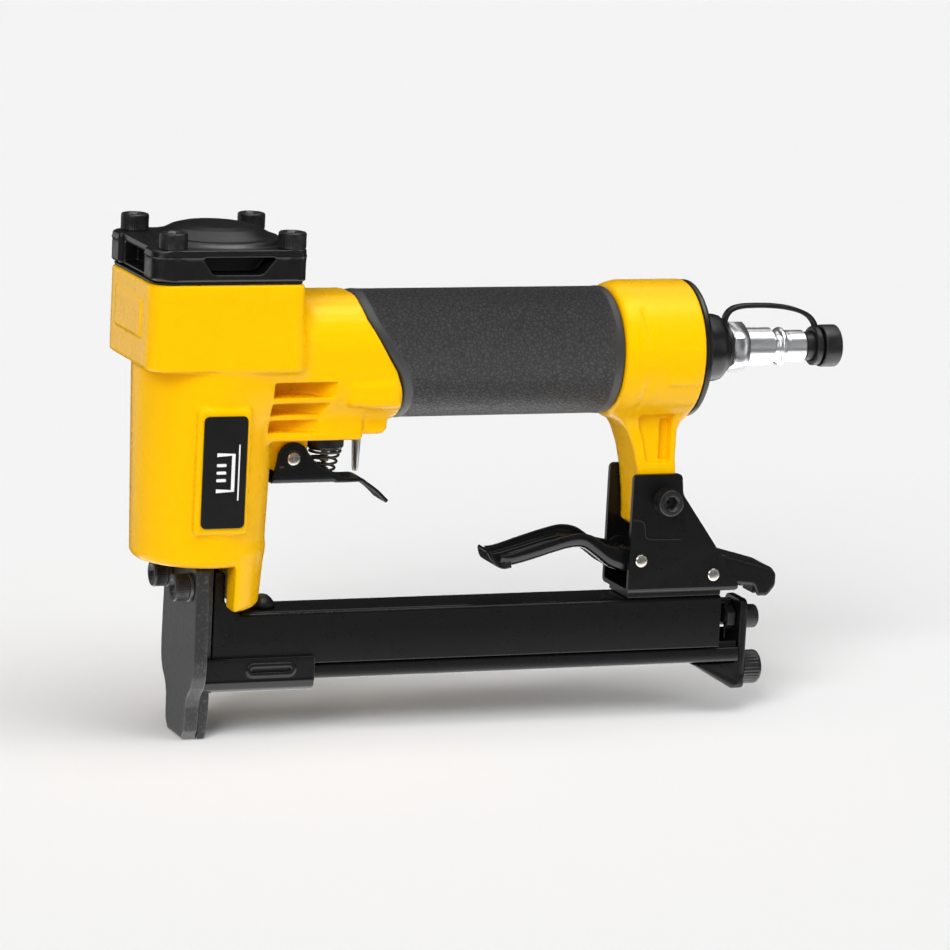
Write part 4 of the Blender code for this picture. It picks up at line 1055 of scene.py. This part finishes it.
def front_guide():
    s = Space((-1, -10, 13.8), (36, 10, 25.5), 0.22)
    half = [(7.6, 14.1), (9.1, 15.5), (9.65, 17.7), (9.6, 25)]
    profile = rounded([(-y, z) for y, z in half[::-1]] + half, [0.2, 0.3, 1.6, 1.4, 1.4, 1.6, 0.3, 0.2])
    body = s.prism(profile, "front", -0.6, 35.5, 0.3)
    hollow = rounded([(-8.3, 17.9), (-7.2, 15.4), (7.2, 15.4), (8.3, 17.9), (8.3, 40), (-8.3, 40)],
        [0.5, 1, 1, 0.5, 0, 0])
    # Above the fold line the sides stand in a little.
    waist = meet(np.maximum(9.4 - np.abs(s.y), -10) + 0 * s.x, 17.9 - s.z, 0.2)
    body = carve(body, waist, 0.2)
    lozenge = rounded([(13.4, 19.1), (29.2, 19.1), (29.2, 23.3), (13.4, 23.3)], 2.05)
    inner = rounded([(15.0, 20.5), (27.6, 20.5), (27.6, 21.9), (15.0, 21.9)], 0.65)
    for raised, sunk in zip(mirrored(8.6, 9.95), mirrored(9.1, 11)):
        body = blend_in(body, s.prism(lozenge, "side", *raised, 0.35), 0.3)
        body = carve(body, s.prism(inner, "side", *sunk, 0.2), 0.35)
    body = carve(body, s.prism(hollow, "front", -5, 60, 0.05))
    body = carve(body, s.box((-5, -8.3, 10), (2.5, 8.3, 16), 0.1))
    stand_for(s.mesh("guide_stirrup", body, 0.01), "front_guide")


def rail_end():
    plate = rounded([(-6.4, 8.2), (6.4, 8.2), (6.4, 37.0), (-6.4, 37.0)], [1.5, 1.5, 2.5, 2.5])
    s = Space((162.5, -7, 7.4), (183, 7, 38), 0.26)
    body = s.prism(plate, "front", 179.4, 181.9, 0.45)
    foot = rounded([(179.4, 9.9), (165.0, 16.8), (163.6, 16.6), (177.6, 8.2), (181.9, 8.2), (181.9, 12),
        (179.4, 12)], [0.5, 0, 0, 2, 1.2, 0, 0])
    body = blend_in(body, s.prism(foot, "side", -6.4, 6.4, 0.4), 0.5)
    wing = rounded(
        [(165.0, 16.4), (178.5, 8.8), (180.4, 9.4), (180.4, 19), (178.0, 16.6)], [0.4, 0.6, 0, 0.4, 1.5]
    )
    for low, high in mirrored(5.0, 6.3):
        body = blend_in(body, s.prism(wing, "side", low, high, 0.3), 0.5)
    body = carve(body, s.bar("x", (0, 30.2), 2.2, 170, 190, 0.05), 0.1)
    body = carve(body, s.bar("x", (0, 13.6), 1.7, 178.5, 190, 0.05), 0.1)
    stand_for(s.mesh("end_pressing", body, 0.01), "end_bracket")
    socket_screw("end_bolt", (182.1, 0, 30.2), (1, 0, 0), 5.8, 5.2, 3.8, 2.0, 32)
    nut = slab("locknut", hexagon(4.0, 30, (0, 30.2)), "front", 176.4, 179.1)
    cut(nut, turned("bore", [(0, 0.02), (0, 2.2), (20, 2.2), (20, 0.02)], (165, 0, 30.2), (1, 0, 0), 48))
    stand_for(soften(nut, 0.3), "end_nut", "black_screw")
    stop = turned("rubber_stop", [
        (-2.4, 0.02), (-2.4, 1.5), (0.3, 1.5), (0.3, 4.9), (0.6, 5.4), (1.2, 5.4), (5.4, 5.4), (5.8,
            5.4), *arc((5.9, 4.5), 0.9, 90, 10, 5), (6.8, 2.6),
        (6.4, 2.3), (6.4, 0.02)], (181.9, 0, 13.6), (1, 0, 0), 144, (30, 0.3, 1.0, 5.5), 34)
    stand_for(stop, "rear_bumper")


# ---------------------------------------------------------------- rear bracket and latch


def bracket():
    outline = rounded([(138.2, 41.0), (176.0, 41.0), (176.0, 43.4), (167.3, 56.0), (155.2, 72.7),
        (154.6, 79.2), (138.2, 79.2)],
                      [0, 1.0, 1.5, 5, 5, 1.6, 1.6])
    body = slab("bracket_pressing", outline, "side", -10.4, 10.4)
    channel = rounded([(-10.4, 41.0), (10.4, 41.0), (10.4, 90), (-10.4, 90)], [1.6, 1.6, 0, 0], 5)
    body = boolean(body, "INTERSECT", slab("channel", channel, "front", 120, 190))
    cut(body, slab("inside", rounded([(-8.8, 42.4), (8.8, 42.4), (8.8, 100), (-8.8, 100)], [0.6, 0.6, 0, 0]),
        "front", 130, 190))
    for (x, z), size in ((LEVER_AXIS, 2.1), (HOOK_AXIS, 2.1), (BRACKET_SCREW, 2.6)):
        cut(body, turned("hole", [(-20, 0.02), (-20, size), (20, size), (20, 0.02)], (x, 0, z), (0, 1, 0),
            48))
    body.data.shade_flat()
    foot = soften(slab("foot", rounded([(-7.5, 39.1), (7.5, 39.1), (7.5, 41.6), (-7.5, 41.6)], 0.3),
        "front", 139.5, 171.4), 0.25)
    # A pressed line drops from the front edge and fades towards the rear.
    line = [(138.6, 64.9), (140.4, 64.8), *arc((140.6, 62.4), 2.4, 80, 15, 5), (143.3, 60.4),
        *arc((144.9, 60.2), 1.6, 190, 265, 4), (155.5, 58.4)]
    spans = mirrored(10.3, 10.55)
    ridges = [soften(slab("ridge", thick_line(line, 0.55), "side", *span), 0.12, 2, 60) for span in spans]
    stand_for(join(body, foot, *ridges), "rear_bracket")


def latch_lever():
    s = Space((90.5, -9, 44.5), (155.5, 9, 61.5), 0.28)
    under = smooth_line([(96.0, 50.6), (99.5, 50.3), (106, 51.7), (114.6, 54.1), (119.8, 55.3),
        (124.2, 55.2), (128.5, 52.4), (133.2, 49.0), (138.4, 47.0)], 5)
    over = smooth_line([(138.5, 55.0), (135.0, 55.6), (131.0, 56.8), (126.6, 59.5), (121.4, 60.4),
        (115.2, 59.2), (106.4, 56.7), (99.5, 54.6), (96.0, 54.2)], 5)
    side = under + arc(LEVER_AXIS, 4.8, 235, 330, 8) + [(153.0, 47.8), (154.0, 50.4),
        (147.8, 54.3)] + arc(LEVER_AXIS, 4.8, 60, 130, 6) + over
    shell = s.prism(side, "side", -7.5, 7.5, 0.3)
    # The bends along both lower edges are round: the sides lean in towards the floor line.
    line_x, line_z = [p[0] for p in under], [p[1] for p in under]
    rise = s.z - np.interp(s.x, line_x + [160], line_z + [47.0]).astype(np.float32)
    lean = np.where(rise < 3.4, np.sqrt(np.maximum(3.4 ** 2 - (3.4 - np.maximum(rise, 0)) ** 2, 0)) - 3.4, 0)
    shell = np.maximum(shell, np.abs(s.y) - (7.5 + lean * 0.85))
    inner_x = [90, 98.5, 106, 114.6, 119.8, 124.2, 128.5, 133.2, 138.4, 160]
    inner_z = [51.9, 51.6, 53.5, 55.9, 57.0, 56.5, 53.8, 50.6, 49.2, 50.0]
    rib = 0.35 * (np.exp(-((np.abs(s.y) - 2.6) / 0.9) ** 2)) * np.clip((s.x - 99) / 4, 0,
        1) * np.clip((124 - s.x) / 4, 0, 1)
    floor = (np.interp(s.x, inner_x, inner_z).astype(np.float32) + rib)
    trough = meet(np.abs(s.y) - 6.3 + 0 * s.x, floor - s.z, 2.4)
    shell = carve(shell, trough, 0.35)
    tip = smooth_line([(99.5, 50.9), (97.0, 50.5), (95.2, 51.2), (93.9, 53.0), (92.9, 55.0)], 5)
    spoon = s.prism(thick_line(tip, 1.25), "side", -8.1, 8.1, 0.5)
    ahead = np.maximum(98.8 - s.x, 0)
    spoon = np.maximum(spoon, (np.sqrt(ahead ** 2 * 1.25 + s.y ** 2 + 0 * s.z) - 8.1) * 0.9)
    body = blend_in(shell, spoon, 1.0)
    body = carve(body, s.bar("y", LEVER_AXIS, 2.1, -12, 12, 0.05), 0.1)
    stand_for(s.mesh("lever_pressing", body, 0.006, True), "latch_lever", "lever")


def latch_hook():
    s = Space((155.5, -8.6, 37.5), (191, 8.6, 53), 0.3)
    outline = rounded([(156.4, 44.2), (160.0, 43.8), (179.0, 42.4), (182.6, 42.0), (184.2, 38.4),
        (187.6, 38.3), (190.2, 41.6), (190.3, 45.4), (188.6, 47.6),
                       (172.6, 52.1), (166.0, 52.5), (160.8, 49.4), (156.2,
                           46.4)], [0.8, 1, 0, 1.5, 1.2, 2, 2.5, 2.5, 1.5, 5, 3, 3, 1])
    body = s.prism(outline, "side", -8.2, 8.2, 0.9)
    hollow = rounded([(150, 30), (150, 46.5), (160.2, 47.6), (166.0, 51.0), (172.4, 50.8), (188.6, 46.2),
        (188.6, 30)], [0, 0, 1, 2, 2, 1.5, 0])
    body = carve(body, s.prism(hollow, "side", -7.0, 7.0, 0.3), 0.3)
    body = blend_in(body, s.box((184.2, -4, 38.4), (185.6, 4, 48.2), 0.4), 0.4)
    body = carve(body, s.bar("y", HOOK_AXIS, 2.1, -12, 12, 0.05), 0.1)
    stand_for(s.mesh("hook_pressing", body, 0.01), "latch_hook")


# ---------------------------------------------------------------- name plate


def name_plate():
    """A plain plate: where a name would be it has the outline of one staple."""
    plate = slab("badge", rounded([(-7.9, 68.8), (5.9, 68.8), (5.9, 103.0), (-7.9, 103.0)], 1.6),
        "side", -23.15, -22.5)
    stand_for(soften(plate, 0.2, 2, 60), "name_plate", "badge")
    staple = [(-3.6, 91.4), (1.6, 91.4), (1.6, 80.4), (-3.6, 80.4)]
    marks = [slab("mark", thick_line(staple, 1.15), "side", -23.3, -23.0)]
    for z in (83.6, 85.9, 88.2):
        marks.append(slab("mark", rounded([(-3.6, z - 0.45), (-0.6, z - 0.45), (-0.6, z + 0.45),
            (-3.6, z + 0.45)], 0.3), "side", -23.3, -23.0))
    marks.append(slab("line", [(3.2, 77.4), (3.6, 77.4), (3.6, 94.4), (3.2, 94.4)], "side", -23.3, -23.0))
    sign = join(*marks)
    sign.name = "badge_pictograms"
    sign.data.materials.append(MATERIALS["white_print"])
    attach(sign, "tool")


def valve():
    body = turned("valve_cap", [
        (88.0, 2.0), (88.0, 4.9), (88.3, 5.3), (89.0, 5.8), (92.8, 5.8), (92.8, 2.7), (104, 2.7), (104,
            2.0)], (VALVE_X, 0, 0), (0, 0, 1), 72)
    stand_for(body, "trigger_valve_body")
    stem = turned("valve_pin", [
        (79.6, 0.02), (79.6, 1.1), (79.8, 1.4), (82.0, 1.4), (82.2, 0.8), (84.0, 0.8), (84.1, 1.3), (85.9,
            1.3), (86.0, 1.0), (87.2, 1.0),
        (87.3, 1.3), (101, 1.3), (101, 0.02)], (VALVE_X, 0, 0), (0, 0, 1), 48)
    stand_for(stem, "valve_stem")
    stop = turned("stop_pin", [
        (78.9, 0.02), (78.9, 0.55), (79.1, 0.8), (80.0, 1.0), (90.0, 1.5), (92.6, 1.5), (92.6,
            0.02)], (52.0, 8.0, 0), (0, 0, 1), 48)
    stand_for(stop, "trigger_stop")


for build in (
    cylinder_cap, fasteners, rubber_grip, inlet, springs, trigger, valve,
    nose, magazine, rail_end, bracket, latch_lever, latch_hook, name_plate,
):
    build()

# ---------------------------------------------------------------- camera, floor and light


VIEW_ANGLES = (-21.93, 11.18, 2.98)  # azimuth, elevation and roll, in degrees
VIEW_CENTRE = (88.83, 0, 78.37)
VIEW_DISTANCE = 1546.8
FOCAL_IN_WIDTHS = 4991 / 950
FLOOR_REACH, FLOOR_LEVEL, BACKDROP_RADIUS = 40.0, -0.0003, 12.0  # metres


def camera():
    azimuth, elevation, roll = (math.radians(a) for a in VIEW_ANGLES)
    back = Vector((math.sin(azimuth) * math.cos(elevation), -math.cos(azimuth) * math.cos(elevation),
        math.sin(elevation)))
    right = Vector((math.cos(azimuth), math.sin(azimuth), 0))
    up = back.cross(right)
    across = math.cos(roll) * right + math.sin(roll) * up
    upward = math.cos(roll) * up - math.sin(roll) * right
    lens = bpy.data.cameras.new("camera")
    lens.sensor_width = 36.0
    lens.lens = lens.sensor_width * FOCAL_IN_WIDTHS
    lens.clip_end = 20
    eye = bpy.data.objects.new("camera", lens)
    place = Matrix((across, upward, back)).transposed().to_4x4()
    place.translation = (Vector(VIEW_CENTRE) + back * VIEW_DISTANCE) * MM
    eye.matrix_world = place
    bpy.context.scene.collection.objects.link(eye)
    bpy.context.scene.camera = eye


def backdrop():
    """A pale surround, seen directly and nowhere else."""
    bm = bmesh.new()
    bmesh.ops.create_uvsphere(bm, u_segments=48, v_segments=24, radius=BACKDROP_RADIUS)
    mesh = bpy.data.meshes.new("backdrop")
    bm.to_mesh(mesh)
    bm.free()
    shell = bpy.data.objects.new("backdrop", mesh)
    bpy.context.scene.collection.objects.link(shell)
    look = Shading("backdrop_glow")
    look.set(Base_Color=(0, 0, 0, 1), Specular_IOR_Level=0.0, Emission_Color=(0.9, 0.9, 0.9, 1),
        Emission_Strength=1.0)
    mesh.materials.append(look.material)
    shell.visible_glossy = False
    shell.visible_diffuse = False
    shell.visible_shadow = False


def stage():
    mesh = bpy.data.meshes.new("floor")
    corners = [(FLOOR_REACH * x, FLOOR_REACH * y, FLOOR_LEVEL) for x, y in ((-1, -1), (1, -1), (1, 1),
        (-1, 1))]
    mesh.from_pydata(corners, [], [(0, 1, 2, 3)])
    floor = bpy.data.objects.new("floor", mesh)
    bpy.context.scene.collection.objects.link(floor)
    look = Shading("floor_paint")
    look.set(Base_Color=(0.88, 0.88, 0.88, 1), Roughness=0.9, Specular_IOR_Level=0.0)
    mesh.materials.append(look.material)
    # The gloss shows the panels alone, so the dark pieces keep their depth.
    floor.visible_glossy = False
    floor.visible_shadow = False
    backdrop()
    world = bpy.data.worlds.new("studio")
    bpy.context.scene.world = world
    world.use_nodes = True
    sky = world.node_tree.nodes["Background"]
    sky.inputs["Color"].default_value = (1.0, 1.0, 1.0, 1)
    sky.inputs["Strength"].default_value = 0.03
    bpy.context.scene.view_settings.view_transform = "Standard"


def sun(name, towards, strength, angle):
    """Even light for colour and shadow. The panels below give the gloss."""
    light = bpy.data.lights.new(name, "SUN")
    light.energy = strength
    light.angle = math.radians(angle)
    obj = bpy.data.objects.new(name, light)
    obj.rotation_euler = Vector(towards).to_track_quat("Z", "Y").to_euler()
    obj.visible_glossy = False
    bpy.context.scene.collection.objects.link(obj)


def softbox(name, place, aim, size, watts):
    """A panel that shows in gloss only, so that the floor stays even."""
    light = bpy.data.lights.new(name, "AREA")
    light.shape = "RECTANGLE"
    light.size, light.size_y = size
    light.energy = watts
    obj = bpy.data.objects.new(name, light)
    obj.location = place
    obj.rotation_euler = (Vector(aim) - Vector(place)).to_track_quat("-Z", "Y").to_euler()
    obj.visible_diffuse = False
    obj.visible_camera = False
    bpy.context.scene.collection.objects.link(obj)


camera()
stage()
sun("key", (-0.55, -0.66, 0.5), 2.2, 30)
sun("overhead", (0.1, -0.3, 0.9), 1.8, 60)
sun("right", (0.85, -0.5, 0.35), 0.95, 60)
softbox("panel_left", (-0.9, -0.9, 0.7), (0.05, 0, 0.1), (0.35, 0.9), 5)
softbox("panel_top", (0.15, -0.2, 1.1), (0.08, 0, 0.08), (0.9, 0.5), 8)
softbox("panel_right", (1.0, -0.9, 0.45), (0.12, 0, 0.08), (0.18, 0.8), 1.2)
softbox("ceiling", (0.1, 0.5, 2.4), (0.1, 0.5, 0), (3.4, 3.4), 45)
softbox("front_card", (0.1, -2.6, 0.55), (0.1, 0, 0.1), (3.0, 0.5), 2.2)
softbox("front_low", (0.1, -2.6, 0.05), (0.1, 0, 0.1), (3.0, 0.5), 1.5)
softbox("low_card", (0.1, -0.05, -0.12), (0.1, -0.05, 1), (1.2, 0.6), 6.5)
softbox("rear_card", (-1.0, 1.6, 0.2), (0, 0, 0.1), (1.3, 1.2), 5)
